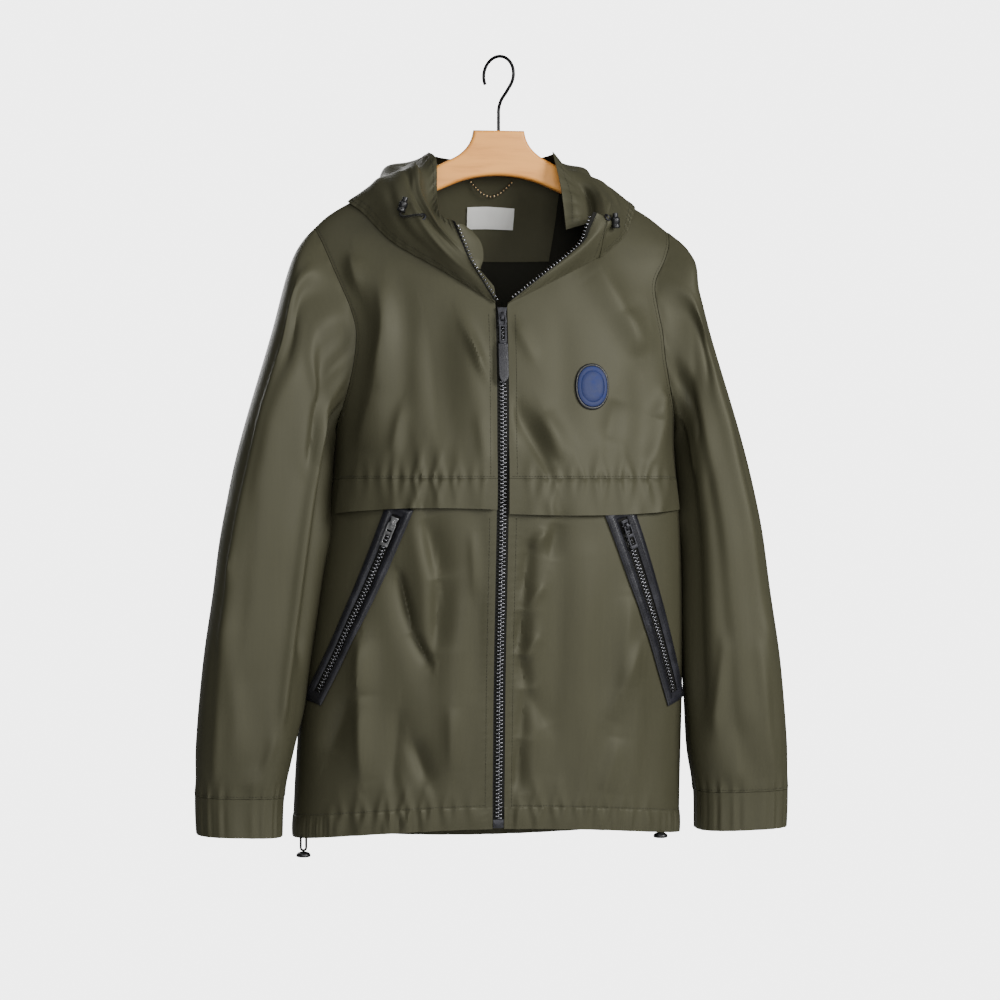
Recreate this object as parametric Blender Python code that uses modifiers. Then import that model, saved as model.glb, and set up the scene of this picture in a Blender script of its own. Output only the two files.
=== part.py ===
"""Hooded windbreaker hanging on a wooden hanger, as closed walls of cloth and plain hard pieces.

Units are metres, +Z is up and the front of the garment faces -Y. The origin is the inside top of the
hook, where the rail carries it. "Down" is the distance below that point. Right and left are the wearer's,
so the right side has negative X.
"""
import math
from bisect import bisect_right
from collections import namedtuple

import bpy
import bmesh
from mathutils import Matrix, Vector

# Walls and clearances
WALL = 0.0012
DOUBLE_WALL = 0.0020
SEAM_GAP = 0.0003
LAID_GAP = 0.0012

# The garment hangs a little to one side of its hanger, and its lower half sways further that way
GARMENT_SHIFT = -0.008
SWAY = -0.005
SWAY_START = 0.30
SWAY_END = 0.72
SWAY_SLEEVE = 0.2185
SWAY_FADE = 0.045
# The chest has slipped round towards the wearer's left, and the left shoulder stands further out
SLIP = 0.088
SLIP_ZIP = 0.030
SLIP_SLEEVE = 0.178
PUSH = 0.0078
PUSH_ACROSS = 0.130

# Torso: one ring for each level, the shoulder line that the hanger makes, and the armhole drawn on them
Ring = namedtuple("Ring", "down half_width front back")
TORSO = (
    Ring(0.100, 0.2260, 0.078, 0.074),
    Ring(0.200, 0.2220, 0.086, 0.080),
    Ring(0.290, 0.2070, 0.096, 0.086),
    Ring(0.415, 0.1910, 0.106, 0.092),
    Ring(0.500, 0.1970, 0.110, 0.097),
    Ring(0.600, 0.2060, 0.107, 0.101),
    Ring(0.720, 0.2140, 0.099, 0.105),
    Ring(0.890, 0.2175, 0.088, 0.108),
)
TORSO_SQUARENESS = 2.5
Ridge = namedtuple("Ridge", "across down")
SHOULDER = (
    Ridge(0.000, 0.112),
    Ridge(0.060, 0.118),
    Ridge(0.085, 0.127),
    Ridge(0.120, 0.1435),
    Ridge(0.1635, 0.167),
    Ridge(0.184, 0.180),
    Ridge(0.198, 0.193),
    Ridge(0.230, 0.225),
)
SHOULDER_REACH = 0.12
RIDGE_CLEAR = 0.000002
SHOULDER_POWER = 0.70
ArmholePoint = namedtuple("ArmholePoint", "down across")
ARMHOLE = (
    ArmholePoint(0.193, 0.198),
    ArmholePoint(0.215, 0.189),
    ArmholePoint(0.250, 0.177),
    ArmholePoint(0.290, 0.171),
    ArmholePoint(0.330, 0.172),
    ArmholePoint(0.370, 0.179),
    ArmholePoint(0.400, 0.187),
    ArmholePoint(0.415, 0.191),
)

NeckPoint = namedtuple("NeckPoint", "across down")
BACK_NECKLINE = (
    NeckPoint(0.000, 0.129),
    NeckPoint(0.040, 0.133),
    NeckPoint(0.070, 0.141),
    NeckPoint(0.095, 0.149),
    NeckPoint(0.110, 0.150),
    NeckPoint(0.115, 0.1412),
)

# Levels of the seams, in the middle of the front or back, and at the sides
NECK_SIDE = 0.115
FRONT_NECK = 0.262
YOKE_SEAM = 0.472
FLAP_EDGE = 0.508
HEM_HEIGHT = 0.024
FRONT_HEM = 0.853
SIDE_HEM = 0.867
BACK_HEM = 0.882
FLAP_STAND = 0.0040
FLAP_END_ANGLE = 74.0

# Zip down the middle of the front
ZIP_HALF = 0.0065
TEETH_HALF = 0.0030
ZIP_TOP = 0.283
ZIP_BOTTOM = 0.842
ZIP_STOP = 0.010

# The largest folds of the body, as soft ridges (or troughs) between two points seen from the front
Fold = namedtuple("Fold", "x0 down0 x1 down1 width height")
FRONT_FOLDS = (
    Fold(-0.140, 0.250, -0.146, 0.455, 0.017, 0.0050),
    Fold(-0.112, 0.255, -0.118, 0.440, 0.014, -0.0040),
    Fold(-0.050, 0.300, -0.028, 0.400, 0.013, 0.0035),
    Fold(-0.075, 0.285, -0.060, 0.440, 0.015, -0.0035),
    Fold(-0.104, 0.500, -0.074, 0.655, 0.016, 0.0055),
    Fold(-0.128, 0.570, -0.084, 0.690, 0.015, -0.0045),
    Fold(-0.160, 0.620, -0.156, 0.815, 0.016, 0.0050),
    Fold(-0.050, 0.620, -0.058, 0.810, 0.017, 0.0045),
    Fold(-0.028, 0.510, -0.030, 0.700, 0.013, -0.0035),
    Fold(0.100, 0.250, 0.150, 0.330, 0.014, 0.0045),
    Fold(0.140, 0.320, 0.148, 0.450, 0.016, -0.0040),
    Fold(0.022, 0.380, 0.066, 0.445, 0.013, 0.0040),
    Fold(0.060, 0.290, 0.064, 0.400, 0.015, -0.0030),
    Fold(0.034, 0.500, 0.032, 0.810, 0.013, 0.0050),
    Fold(0.060, 0.520, 0.058, 0.790, 0.012, -0.0040),
    Fold(0.085, 0.560, 0.098, 0.815, 0.016, 0.0045),
    Fold(0.150, 0.690, 0.146, 0.820, 0.015, 0.0045),
)
BACK_FOLDS = (
    Fold(-0.120, 0.300, -0.130, 0.800, 0.022, 0.0055),
    Fold(-0.070, 0.420, -0.075, 0.840, 0.020, -0.0050),
    Fold(-0.010, 0.480, -0.005, 0.840, 0.024, 0.0050),
    Fold(0.055, 0.430, 0.070, 0.840, 0.020, -0.0050),
    Fold(0.110, 0.320, 0.125, 0.800, 0.022, 0.0055),
)

# Gathers along the flaps, the hem casing and the cuffs
Gather = namedtuple("Gather", "count height sway")
FLAP_GATHER = Gather(9, 0.0014, 0.9)
FRONT_HEM_GATHER = Gather(10, 0.0016, 0.8)
BACK_HEM_GATHER = Gather(18, 0.0017, 0.8)
CUFF_GATHER = Gather(12, 0.0018, 0.7)

# Sleeve: the outer and the under edge of each ring, its middle and half its depth
Station = namedtuple("Station", "top_x top_down under_x under_down middle_y half_depth")
SLEEVE = (
    Station(0.2225, 0.226, 0.1955, 0.432, 0.000, 0.052),
    Station(0.2460, 0.310, 0.1980, 0.460, -0.003, 0.060),
    Station(0.2785, 0.422, 0.2015, 0.505, -0.008, 0.064),
    Station(0.2990, 0.512, 0.2055, 0.555, -0.013, 0.064),
    Station(0.3115, 0.598, 0.2100, 0.618, -0.016, 0.062),
    Station(0.3225, 0.676, 0.2155, 0.687, -0.019, 0.060),
    Station(0.3295, 0.760, 0.2215, 0.765, -0.022, 0.056),
    Station(0.3305, 0.818, 0.2310, 0.820, -0.024, 0.047),
    Station(0.3290, 0.860, 0.2325, 0.863, -0.025, 0.045),
)
SLEEVE_SQUARENESS = 2.8
CUFF_SEAM = 8.0
CUFF_END = 9.0
SLEEVE_SEAM_GAP = 0.0006
SleeveFold = namedtuple("SleeveFold", "angle0 ring0 angle1 ring1 width height")
SLEEVE_FOLDS = (
    SleeveFold(95.0, 0.9, 60.0, 2.6, 16.0, 0.0050),
    SleeveFold(70.0, 2.2, 55.0, 5.4, 14.0, 0.0045),
    SleeveFold(105.0, 3.0, 95.0, 7.2, 15.0, -0.0045),
    SleeveFold(60.0, 5.6, 100.0, 7.6, 14.0, 0.0040),
    SleeveFold(290.0, 1.5, 300.0, 5.0, 18.0, 0.0050),
    SleeveFold(260.0, 4.0, 275.0, 7.4, 16.0, -0.0045),
)

# Hood, thrown back: sections from its front edge at one zip end, round the neck, to the other zip end.
# Each runs from the seam on the body over a turn and a crest to the free edge round the neck.
Section = namedtuple("Section", "seam_x seam_down crest_x crest_y crest_down edge_x edge_y edge_down "
                                "puff_y puff_down tuck tuck_back tuck_at")
HOOD_RIGHT_FRONT = (
    Section(-0.0066, 0.281, -0.0375, -0.088, 0.232, -0.0545, -0.080, 0.190, 0.000, 0.000, 0.000, 0.0, 0.5),
    Section(-0.0600, 0.247, -0.0680, -0.081, 0.200, -0.0665, -0.066, 0.181, -0.008, 0.000, 0.000, 0.0, 0.5),
    Section(-0.1150, 0.213, -0.0880, -0.056, 0.160, -0.0655, -0.036, 0.155, -0.014, 0.000, 0.010, 0.0, 0.5),
    Section(-0.1456, 0.179, -0.0900, -0.028, 0.127, -0.0640, -0.017, 0.117, -0.012, -0.004, 0.008, 0.0, 0.5),
)
HOOD_RIGHT_BACK = (
    Section(-0.1600, 0.165, -0.1000, 0.004, 0.1255, -0.0700, 0.006, 0.106, 0.000, -0.002, 0.005, 0.0, 0.5),
    Section(-0.1350, 0.166, -0.1180, 0.050, 0.1240, -0.0600, 0.034, 0.107, 0.012, 0.025, 0.000, 0.0, 0.5),
    Section(-0.0800, 0.157, -0.1050, 0.118, 0.1850, -0.0350, 0.055, 0.108, 0.020, 0.100, 0.000, 0.0, 0.5),
)
HOOD_MIDDLE = Section(0.0, 0.148, 0.0, 0.142, 0.235, 0.0, 0.066, 0.109, 0.015, 0.155, 0.000, 0.0, 0.5)
HOOD_LEFT_FRONT = (
    Section(0.1560, 0.180, 0.1080, -0.012, 0.132, 0.0680, -0.012, 0.108, -0.008, -0.002, 0.008, 0.0, 0.5),
    Section(0.1417, 0.204, 0.1182, -0.042, 0.156, 0.0734, -0.034, 0.148, -0.010, 0.000, 0.006, 0.008, 0.4),
    Section(0.1110, 0.230, 0.1188, -0.064, 0.183, 0.0765, -0.050, 0.196, -0.006, 0.000, 0.000, 0.004, 0.5),
)
# The collar's left front stands between the zip's edge, given here from its foot up, and the hood
EdgePoint = namedtuple("EdgePoint", "x y down")
COLLAR_EDGE = (
    EdgePoint(0.0066, -0.0860, 0.2810),
    EdgePoint(0.0494, -0.0830, 0.2470),
    EdgePoint(0.0911, -0.0770, 0.2120),
    EdgePoint(0.1000, -0.0725, 0.1955),
    EdgePoint(0.1080, -0.0680, 0.1790),
)
COLLAR_TOP = 0.66
COLLAR_PUFF = 0.004
COLLAR_GAP = 0.0014
COLLAR_COLUMNS = 6
HOOD_STOPS = (0.0, 0.34, 0.66, 0.84, 1.0)
HOOD_LIFT = 0.0028
HOOD_SEAM_RIGHT = 6
HOOD_SEAM_LEFT = 8
HOOD_LAST = 13
HOOD_BACK_FIRST = 4.4
HOOD_BACK_LAST = 9.6
ZIP_END_WIDTH = 0.0075
CHIN_GUARD_WIDTH = 0.024

# Pockets: the middle of each welt at its two ends, with half its width as seen from the front
PocketEnd = namedtuple("PocketEnd", "x down half_width")
POCKETS = {
    "right": (PocketEnd(-0.1195, 0.5005, 0.0160), PocketEnd(-0.2035, 0.716, 0.0090)),
    "left": (PocketEnd(0.1185, 0.5035, 0.0160), PocketEnd(0.1990, 0.719, 0.0120)),
}
POCKET_SLOT = 0.0055
POCKET_END_BORDER = 0.012
POCKET_LIFT = LAID_GAP + WALL
POCKET_SLIDER_PLACE = 0.095

# Small hard pieces
SliderSize = namedtuple("SliderSize", "width length plate bridge_width bridge_length bridge_height lift")
MAIN_SLIDER = SliderSize(0.0110, 0.022, 0.0026, 0.0030, 0.0100, 0.0036, 0.0040)
POCKET_SLIDER = SliderSize(0.0085, 0.015, 0.0022, 0.0026, 0.0090, 0.0034, POCKET_LIFT + 0.0030)
PullSize = namedtuple("PullSize", "width length thick bar eye_length window_top window_length")
MAIN_PULL = PullSize(0.0085, 0.030, 0.0013, 0.0015, 0.0085, 0.0115, 0.0150)
POCKET_PULL = PullSize(0.0095, 0.026, 0.0013, 0.0015, 0.0085, 0.0130, 0.0090)
TAB_WIDTH = 0.0108
TAB_LENGTH = 0.044
TAB_THICK = 0.0024
BADGE_X = 0.0913
BADGE_DOWN = 0.371
BADGE_HALF_WIDTH = 0.0176
BADGE_HALF_HEIGHT = 0.0255
BADGE_RIM = 0.0030
BADGE_GAP = 0.0007
FACING_WALL = 0.0010
FACING_COLUMNS = 3
FACING_LAST_ROW = 0.7
LABEL_ROWS = (1.86, 2.54)
LABEL_PLACES = (2.15, 4.15)
LOOP_ENDS = (-0.0228, 0.0267)
LOOP_TOP = 0.1335
LOOP_SAG = 0.0155
LOOP_RADIUS = 0.0013
CORD_RADIUS = 0.0013
ToggleRow = namedtuple("ToggleRow", "radius height")
TOGGLE = (
    ToggleRow(0.0012, 0.0000),
    ToggleRow(0.0042, 0.0000),
    ToggleRow(0.0048, 0.0010),
    ToggleRow(0.0048, 0.0105),
    ToggleRow(0.0038, 0.0118),
    ToggleRow(0.0030, 0.0122),
    ToggleRow(0.0030, 0.0160),
    ToggleRow(0.0024, 0.0168),
    ToggleRow(0.0012, 0.0168),
)
HEM_TOGGLE = (
    ToggleRow(0.0016, 0.0000),
    ToggleRow(0.0062, 0.0000),
    ToggleRow(0.0080, 0.0016),
    ToggleRow(0.0074, 0.0040),
    ToggleRow(0.0044, 0.0058),
    ToggleRow(0.0016, 0.0058),
)
HEM_TOGGLE_RIGHT = Vector((-0.2130, -0.0346, -0.8868))
HEM_TOGGLE_LEFT = Vector((0.1820, -0.0540, -0.8697))
HEM_LOOP_HALF = 0.0030
HEM_LOOP_TOP = 0.8663

# Hanger, in its own place, not shifted with the garment
HangerRow = namedtuple("HangerRow", "across down")
HANGER_TOP = (
    HangerRow(0.0285, 0.0815),
    HangerRow(0.0310, 0.0915),
    HangerRow(0.0365, 0.1010),
    HangerRow(0.0465, 0.1100),
    HangerRow(0.0600, 0.1170),
    HangerRow(0.0740, 0.1245),
    HangerRow(0.0900, 0.1400),
    HangerRow(0.1070, 0.1505),
    HangerRow(0.1300, 0.1615),
    HangerRow(0.1500, 0.1708),
    HangerRow(0.1700, 0.1828),
    HangerRow(0.1775, 0.1900),
)
HANGER_BOTTOM = (
    HangerRow(0.1805, 0.1990),
    HangerRow(0.1770, 0.2075),
    HangerRow(0.1685, 0.2065),
    HangerRow(0.1500, 0.1950),
    HangerRow(0.1200, 0.1740),
    HangerRow(0.0670, 0.1490),
    HangerRow(0.0350, 0.1365),
    HangerRow(0.0000, 0.1320),
)
HANGER_HALF_THICK = 0.0065
HANGER_ROUND = 0.0040
HOOK_TURN = math.radians(45.0)
HOOK_RADIUS = 0.0209
HOOK_WIRE = 0.0019
HookBend = namedtuple("HookBend", "out down")
HOOK_STEM = (
    HookBend(0.0000, 0.0812),
    HookBend(0.0000, 0.0660),
    HookBend(0.0004, 0.0560),
    HookBend(0.0040, 0.0470),
    HookBend(0.0105, 0.0395),
)
HOOK_FIRST_ANGLE = -40.0
HOOK_LAST_ANGLE = 205.0
HOOK_STEPS = 16

# Colours (linear), roughness and metallic of each material
Finish = namedtuple("Finish", "colour roughness metallic")
FINISHES = {
    "nylon": Finish((0.072, 0.069, 0.046), 0.55, 0.0),
    "leather": Finish((0.012, 0.011, 0.014), 0.45, 0.0),
    "zip_tape": Finish((0.008, 0.008, 0.008), 0.80, 0.0),
    "gunmetal": Finish((0.10, 0.10, 0.10), 0.35, 1.0),
    "steel": Finish((0.42, 0.42, 0.41), 0.30, 1.0),
    "label": Finish((0.72, 0.72, 0.70), 0.70, 0.0),
    "badge": Finish((0.020, 0.055, 0.160), 0.40, 0.0),
    "plastic": Finish((0.010, 0.010, 0.010), 0.40, 0.0),
    "cord": Finish((0.012, 0.012, 0.012), 0.85, 0.0),
    "wood": Finish((0.50, 0.37, 0.23), 0.50, 0.0),
    "black_wire": Finish((0.012, 0.012, 0.013), 0.35, 0.8),
}

# Steps of the grids
ARM_ROWS = 10
YOKE_ROWS = 12
FRONT_ROWS = 11
FRONT_COLUMNS = 11
BACK_ROWS = 17
BACK_EXTRA_ROW = 0.35
BACK_COLUMNS = 9
SLEEVE_ROWS = 14
SLEEVE_COLUMNS = 2 * ARM_ROWS
HOOD_ROWS = 12
POINTS_PER_GATHER = 4


def clear_scene():
    for found in list(bpy.data.objects):
        bpy.data.objects.remove(found, do_unlink=True)


def make_material(name):
    finish = FINISHES[name]
    material = bpy.data.materials.new(name)
    material.use_nodes = True
    shader = material.node_tree.nodes["Principled BSDF"]
    shader.inputs["Base Color"].default_value = (*finish.colour, 1.0)
    shader.inputs["Roughness"].default_value = finish.roughness
    shader.inputs["Metallic"].default_value = finish.metallic
    material.diffuse_color = (*finish.colour, 1.0)
    return material


def mix(first, last, share):
    return first + (last - first) * share


def ease(share):
    """Smooth step from 0 to 1."""
    share = min(1.0, max(0.0, share))
    return share * share * (3.0 - 2.0 * share)


def smooth(places, values, at):
    """Cubic through the rows of a table, level beyond its ends."""
    last = len(places) - 1
    if at <= places[0]:
        return values[0]
    if at >= places[last]:
        return values[last]
    low = bisect_right(places, at) - 1

    def slope(row):
        before, after = max(row - 1, 0), min(row + 1, last)
        return (values[after] - values[before]) / (places[after] - places[before])

    span = places[low + 1] - places[low]
    s = (at - places[low]) / span
    rise = values[low + 1] - values[low]
    start = slope(low) * span - rise
    end = rise - slope(low + 1) * span
    return values[low] + s * rise + s * (1.0 - s) * (start * (1.0 - s) + end * s)


def column(table, name):
    return [getattr(row, name) for row in table]


TORSO_DOWN = column(TORSO, "down")
TORSO_WIDTH = column(TORSO, "half_width")
TORSO_FRONT = column(TORSO, "front")
TORSO_BACK = column(TORSO, "back")
SHOULDER_ACROSS = column(SHOULDER, "across")
SHOULDER_DOWN = column(SHOULDER, "down")
ARMHOLE_DOWN = column(ARMHOLE, "down")
ARMHOLE_ACROSS = column(ARMHOLE, "across")


def half_width(down):
    return smooth(TORSO_DOWN, TORSO_WIDTH, down)


def shoulder(across):
    return smooth(SHOULDER_ACROSS, SHOULDER_DOWN, abs(across))


def armhole_across(down):
    return smooth(ARMHOLE_DOWN, ARMHOLE_ACROSS, down)


def angle_at(across, down, back=False):
    """Angle round the torso (0 front, 90 side, 180 back) of a point seen from the front."""
    angle = math.degrees(math.asin(min(1.0, abs(across) / half_width(down))))
    angle = 180.0 - angle if back else angle
    return math.copysign(angle, across)


def torso(angle, down):
    """Point of the smooth torso. Past the shoulder line it carries on down the other face."""
    angle = (angle + 180.0) % 360.0 - 180.0
    turn = math.radians(abs(angle))
    across = half_width(down) * math.sin(turn)
    back = turn > math.pi / 2.0
    below = down - shoulder(across)
    if below < 0.0:
        back = not back
        below = -below
        down = shoulder(across) + below
    depth = smooth(TORSO_DOWN, TORSO_BACK if back else TORSO_FRONT, down)
    fall = (1.0 - math.exp(-below / SHOULDER_REACH)) ** SHOULDER_POWER
    round_off = (1.0 - math.sin(turn) ** TORSO_SQUARENESS) ** (1.0 / TORSO_SQUARENESS)
    y = depth * fall * round_off + SEAM_GAP / 2.0
    return Vector((math.copysign(across, angle), y if back else -y, -down))


def torso_normal(angle, down):
    turn, step = 0.6, 0.0015
    along = torso(angle + turn, down) - torso(angle - turn, down)
    downward = torso(angle, down + step) - torso(angle, down - step)
    return downward.cross(along).normalized()


def fold_height(folds, x, down):
    """Sum of the soft ridges at a place seen from the front."""
    total = 0.0
    for fold in folds:
        run = fold.x1 - fold.x0
        drop = fold.down1 - fold.down0
        place = ((x - fold.x0) * run + (down - fold.down0) * drop) / (run * run + drop * drop)
        place = min(1.0, max(0.0, place))
        away = math.hypot(x - fold.x0 - run * place, down - fold.down0 - drop * place)
        taper = 1.0 - 0.6 * abs(2.0 * place - 1.0) ** 3
        total += fold.height * taper * math.exp(-(away / fold.width) ** 2)
    return total


def body_fold(point, angle):
    """Fold height on the torso, fading out towards the sides, the zip and the shoulder line."""
    down = -point.z
    x = point.x
    folds = BACK_FOLDS if abs(angle) > 90.0 else FRONT_FOLDS
    side_fade = ease((half_width(down) - abs(x)) / 0.030)
    top_fade = ease((down - shoulder(x) - 0.02) / 0.05)
    zip_fade = ease((abs(x) - 0.004) / 0.018) if abs(angle) < 90.0 else 1.0
    arm_fade = 1.0
    if down < ARMHOLE[-1].down:
        arm_fade = ease((armhole_across(down) - abs(x)) / 0.025)
    return fold_height(folds, x, down) * side_fade * top_fade * zip_fade * arm_fade


def sway(point):
    """Sideways move of a point of the garment: the lower half's sway, the chest's slip and the left shoulder's push."""
    down, across = -point.z, abs(point.x)
    swung = SWAY * ease((down - SWAY_START) / (SWAY_END - SWAY_START)) * (1.0 - ease((across - SWAY_SLEEVE) / SWAY_FADE))
    sleeve_edge = smooth(column(SLEEVE, "top_down"), column(SLEEVE, "top_x"), down)
    held = ease(across / SLIP_ZIP) * (1.0 - ease((across - SLIP_SLEEVE) / (sleeve_edge - SLIP_SLEEVE)))
    slipped = SLIP * across * held * ease((down - 0.235) / 0.085) * (1.0 - ease((down - 0.480) / 0.400))
    pushed = PUSH * ease((point.x - PUSH_ACROSS) / 0.050)
    pushed *= ease((down - 0.180) / 0.033) * (1.0 - ease((down - 0.222) / 0.040))
    return Vector((swung + slipped + pushed, 0.0, 0.0))


def swayed(rows):
    return [[(out + sway(out), back + sway(out)) for out, back in row] for row in rows]


def lay(angle, down, lift=0.0, wall=WALL):
    """A point on the outside of the folded body, moved out by lift, and the one behind it."""
    point = torso(angle, down)
    normal = torso_normal(angle, down)
    outside = point + normal * (lift + body_fold(point, angle)) + sway(point)
    return outside, outside - normal * wall


def lay_at(x, down, lift=0.0, wall=WALL, back=False):
    return lay(angle_at(x, down, back), down, lift, wall)


def mirrored(rows):
    flip = Vector((-1.0, 1.0, 1.0))
    return [[(out * flip, back * flip) for out, back in row] for row in rows]


def finish_object(name, data, material, parent):
    made = bpy.data.objects.new(name, data)
    bpy.context.collection.objects.link(made)
    data.materials.append(MATERIALS[material])
    made.parent = parent
    return made


def shell(name, rows, material, parent, closed=False):
    """One closed wall from rows of pairs: a point outside and the point behind it."""
    mesh = bmesh.new()
    outer = [[mesh.verts.new(pair[0]) for pair in row] for row in rows]
    inner = [[mesh.verts.new(pair[1]) for pair in row] for row in rows]
    count = len(rows[0])
    spans = count if closed else count - 1
    for low in range(len(rows) - 1):
        for here in range(spans):
            there = (here + 1) % count
            for layer in (outer, inner):
                mesh.faces.new((layer[low][here], layer[low][there],
                                layer[low + 1][there], layer[low + 1][here]))
    for row in (0, -1):
        for here in range(spans):
            there = (here + 1) % count
            mesh.faces.new((outer[row][here], outer[row][there], inner[row][there], inner[row][here]))
    if not closed:
        for end in (0, -1):
            for low in range(len(rows) - 1):
                mesh.faces.new((outer[low][end], outer[low + 1][end], inner[low + 1][end], inner[low][end]))
    bmesh.ops.recalc_face_normals(mesh, faces=mesh.faces)
    data = bpy.data.meshes.new(name)
    mesh.to_mesh(data)
    mesh.free()
    for face in data.polygons:
        face.use_smooth = True
    return finish_object(name, data, material, parent)


def yoke_inner(t):
    """Neckline from the shoulder, then the zip edge."""
    turn = 0.42
    if t <= turn:
        share = t / turn
        x = mix(NECK_SIDE, ZIP_HALF, share)
        return x, mix(shoulder(NECK_SIDE), FRONT_NECK, share ** 1.1)
    return ZIP_HALF, mix(FRONT_NECK, YOKE_SEAM, (t - turn) / (1.0 - turn))


def armhole_down(angle):
    """Level on the armhole at an angle round it, 0 at the shoulder tip and 180 under the arm."""
    top, under = ARMHOLE[0].down, ARMHOLE[-1].down
    return mix(top, under, (1.0 - math.cos(math.radians(angle))) / 2.0)


def side_edge(t, turn, bottom):
    """Armhole from the shoulder tip, then the side seam."""
    if t <= turn:
        down = armhole_down(180.0 * t / turn)
        return armhole_across(down), down
    down = mix(ARMHOLE[-1].down, bottom, (t - turn) / (1.0 - turn))
    return half_width(down), down


def flap_stand(angle, down):
    """How far the yoke stands off where it runs into its flap."""
    towards_side = 1.0 - ease((abs(angle) - 58.0) / 24.0)
    return FLAP_STAND * ease((down - YOKE_SEAM + 0.045) / 0.045) * towards_side


def upper_row(t, inner, outer, columns, side):
    """Angles and levels of one row between a neck or zip edge and an armhole or side edge."""
    first = abs(angle_at(*inner))
    last = abs(angle_at(*outer))
    below_first = inner[1] - shoulder(inner[0])
    below_last = outer[1] - shoulder(outer[0])
    row = []
    for step in range(columns + 1):
        share = step / columns
        angle = mix(first, last, share)
        level = mix(inner[1], outer[1], share)
        x = half_width(level) * math.sin(math.radians(angle))
        arched = shoulder(x) + mix(below_first, below_last, share)
        level = max(mix(level, arched, (1.0 - t) ** 2), shoulder(x) + RIDGE_CLEAR)
        row.append((side * abs(angle_at(x, level)), level))
    return row


def make_yokes(garment):
    for side, name in ((1, "yoke_left"), (-1, "yoke_right")):
        rows = []
        for step in range(YOKE_ROWS + 1):
            t = step / YOKE_ROWS
            row = upper_row(t, yoke_inner(t), side_edge(t, ARM_ROWS / YOKE_ROWS, YOKE_SEAM), FRONT_COLUMNS, side)
            rows.append([lay(angle, down, flap_stand(angle, down)) for angle, down in row])
        shell(name, rows, "nylon", garment)


def gather_wave(gather, share, phase=0.0):
    """Uneven wave of a gathered edge, between -1 and 1."""
    turns = gather.count * share + 0.11 * gather.sway * math.sin(math.tau * 2.3 * share + phase)
    swell = 0.75 + 0.25 * math.sin(math.tau * 1.7 * share + 1.0 + phase)
    return swell * math.cos(math.tau * turns + phase)


def make_flaps(garment):
    top = YOKE_SEAM + SEAM_GAP
    columns = FLAP_GATHER.count * POINTS_PER_GATHER
    for side, name in ((1, "yoke_flap_left"), (-1, "yoke_flap_right")):
        first = abs(angle_at(ZIP_HALF, YOKE_SEAM))
        rows = []
        for share in (0.0, 0.5, 1.0):
            row = []
            for step in range(columns + 1):
                place = step / columns
                angle = mix(first, FLAP_END_ANGLE, place)
                wave = gather_wave(FLAP_GATHER, place, side) * FLAP_GATHER.height
                edge = FLAP_EDGE + 0.004 * math.sin(math.pi * (0.2 + place)) * side
                lift = flap_stand(angle, YOKE_SEAM) + 0.0006 + 0.0014 * share + wave
                row.append(lay(side * angle, mix(top, edge, share), lift))
            rows.append(row)
        shell(name, rows, "nylon", garment)


def hem_level(angle, raised):
    """Level of the hem's lower edge, or of its seam, round the body."""
    turn = math.radians(abs(angle))
    middle = BACK_HEM if abs(angle) > 90.0 else FRONT_HEM
    return mix(SIDE_HEM, middle, math.cos(turn) ** 2) - raised


def make_fronts(garment):
    top = YOKE_SEAM + SEAM_GAP
    for side, name in ((1, "front_left"), (-1, "front_right")):
        rows = []
        for step in range(FRONT_ROWS + 1):
            share = step / FRONT_ROWS
            row = []
            for across in range(FRONT_COLUMNS + 1):
                first = abs(angle_at(ZIP_HALF, mix(top, FRONT_HEM, share)))
                angle = mix(first, 90.0, across / FRONT_COLUMNS)
                down = mix(top, hem_level(angle, HEM_HEIGHT), share)
                row.append(lay(side * angle, down))
            rows.append(row)
        shell(name, rows, "nylon", garment)


def hem_rows(first, last, gather, phase):
    columns = gather.count * POINTS_PER_GATHER
    rows = []
    for raised, puff in ((HEM_HEIGHT - SEAM_GAP, 0.3), (HEM_HEIGHT * 0.45, 1.0), (0.0, 0.6)):
        row = []
        for step in range(columns + 1):
            share = step / columns
            angle = mix(first, last, share)
            wave = gather_wave(gather, share, phase) * gather.height * puff
            wave *= ease(min(abs(angle - 90.0), abs(angle + 90.0), abs(angle - 270.0)) / 20.0)
            row.append(lay(angle, hem_level(angle, raised), wave + 0.0010 * puff, DOUBLE_WALL))
        rows.append(row)
    return rows


def make_hems(garment):
    first = angle_at(ZIP_HALF, FRONT_HEM)
    shell("hem_front_left", hem_rows(first, 90.0, FRONT_HEM_GATHER, 0.4), "nylon", garment)
    shell("hem_front_right", hem_rows(-first, -90.0, FRONT_HEM_GATHER, 1.9), "nylon", garment)
    shell("hem_back", hem_rows(90.0001, 269.9999, BACK_HEM_GATHER, 0.0), "nylon", garment)


def back_top(x):
    """Top edge of the back: its neckline, then the shoulder line."""
    if abs(x) < BACK_NECKLINE[-1].across:
        return smooth(column(BACK_NECKLINE, "across"), column(BACK_NECKLINE, "down"), abs(x))
    return shoulder(x)


def back_place(x, level):
    """Angle and level of a point of the back seen from the front, kept behind the side seam."""
    level = max(level, shoulder(x) + RIDGE_CLEAR)
    return max(90.0001, 180.0 - abs(angle_at(x, level))), level


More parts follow.
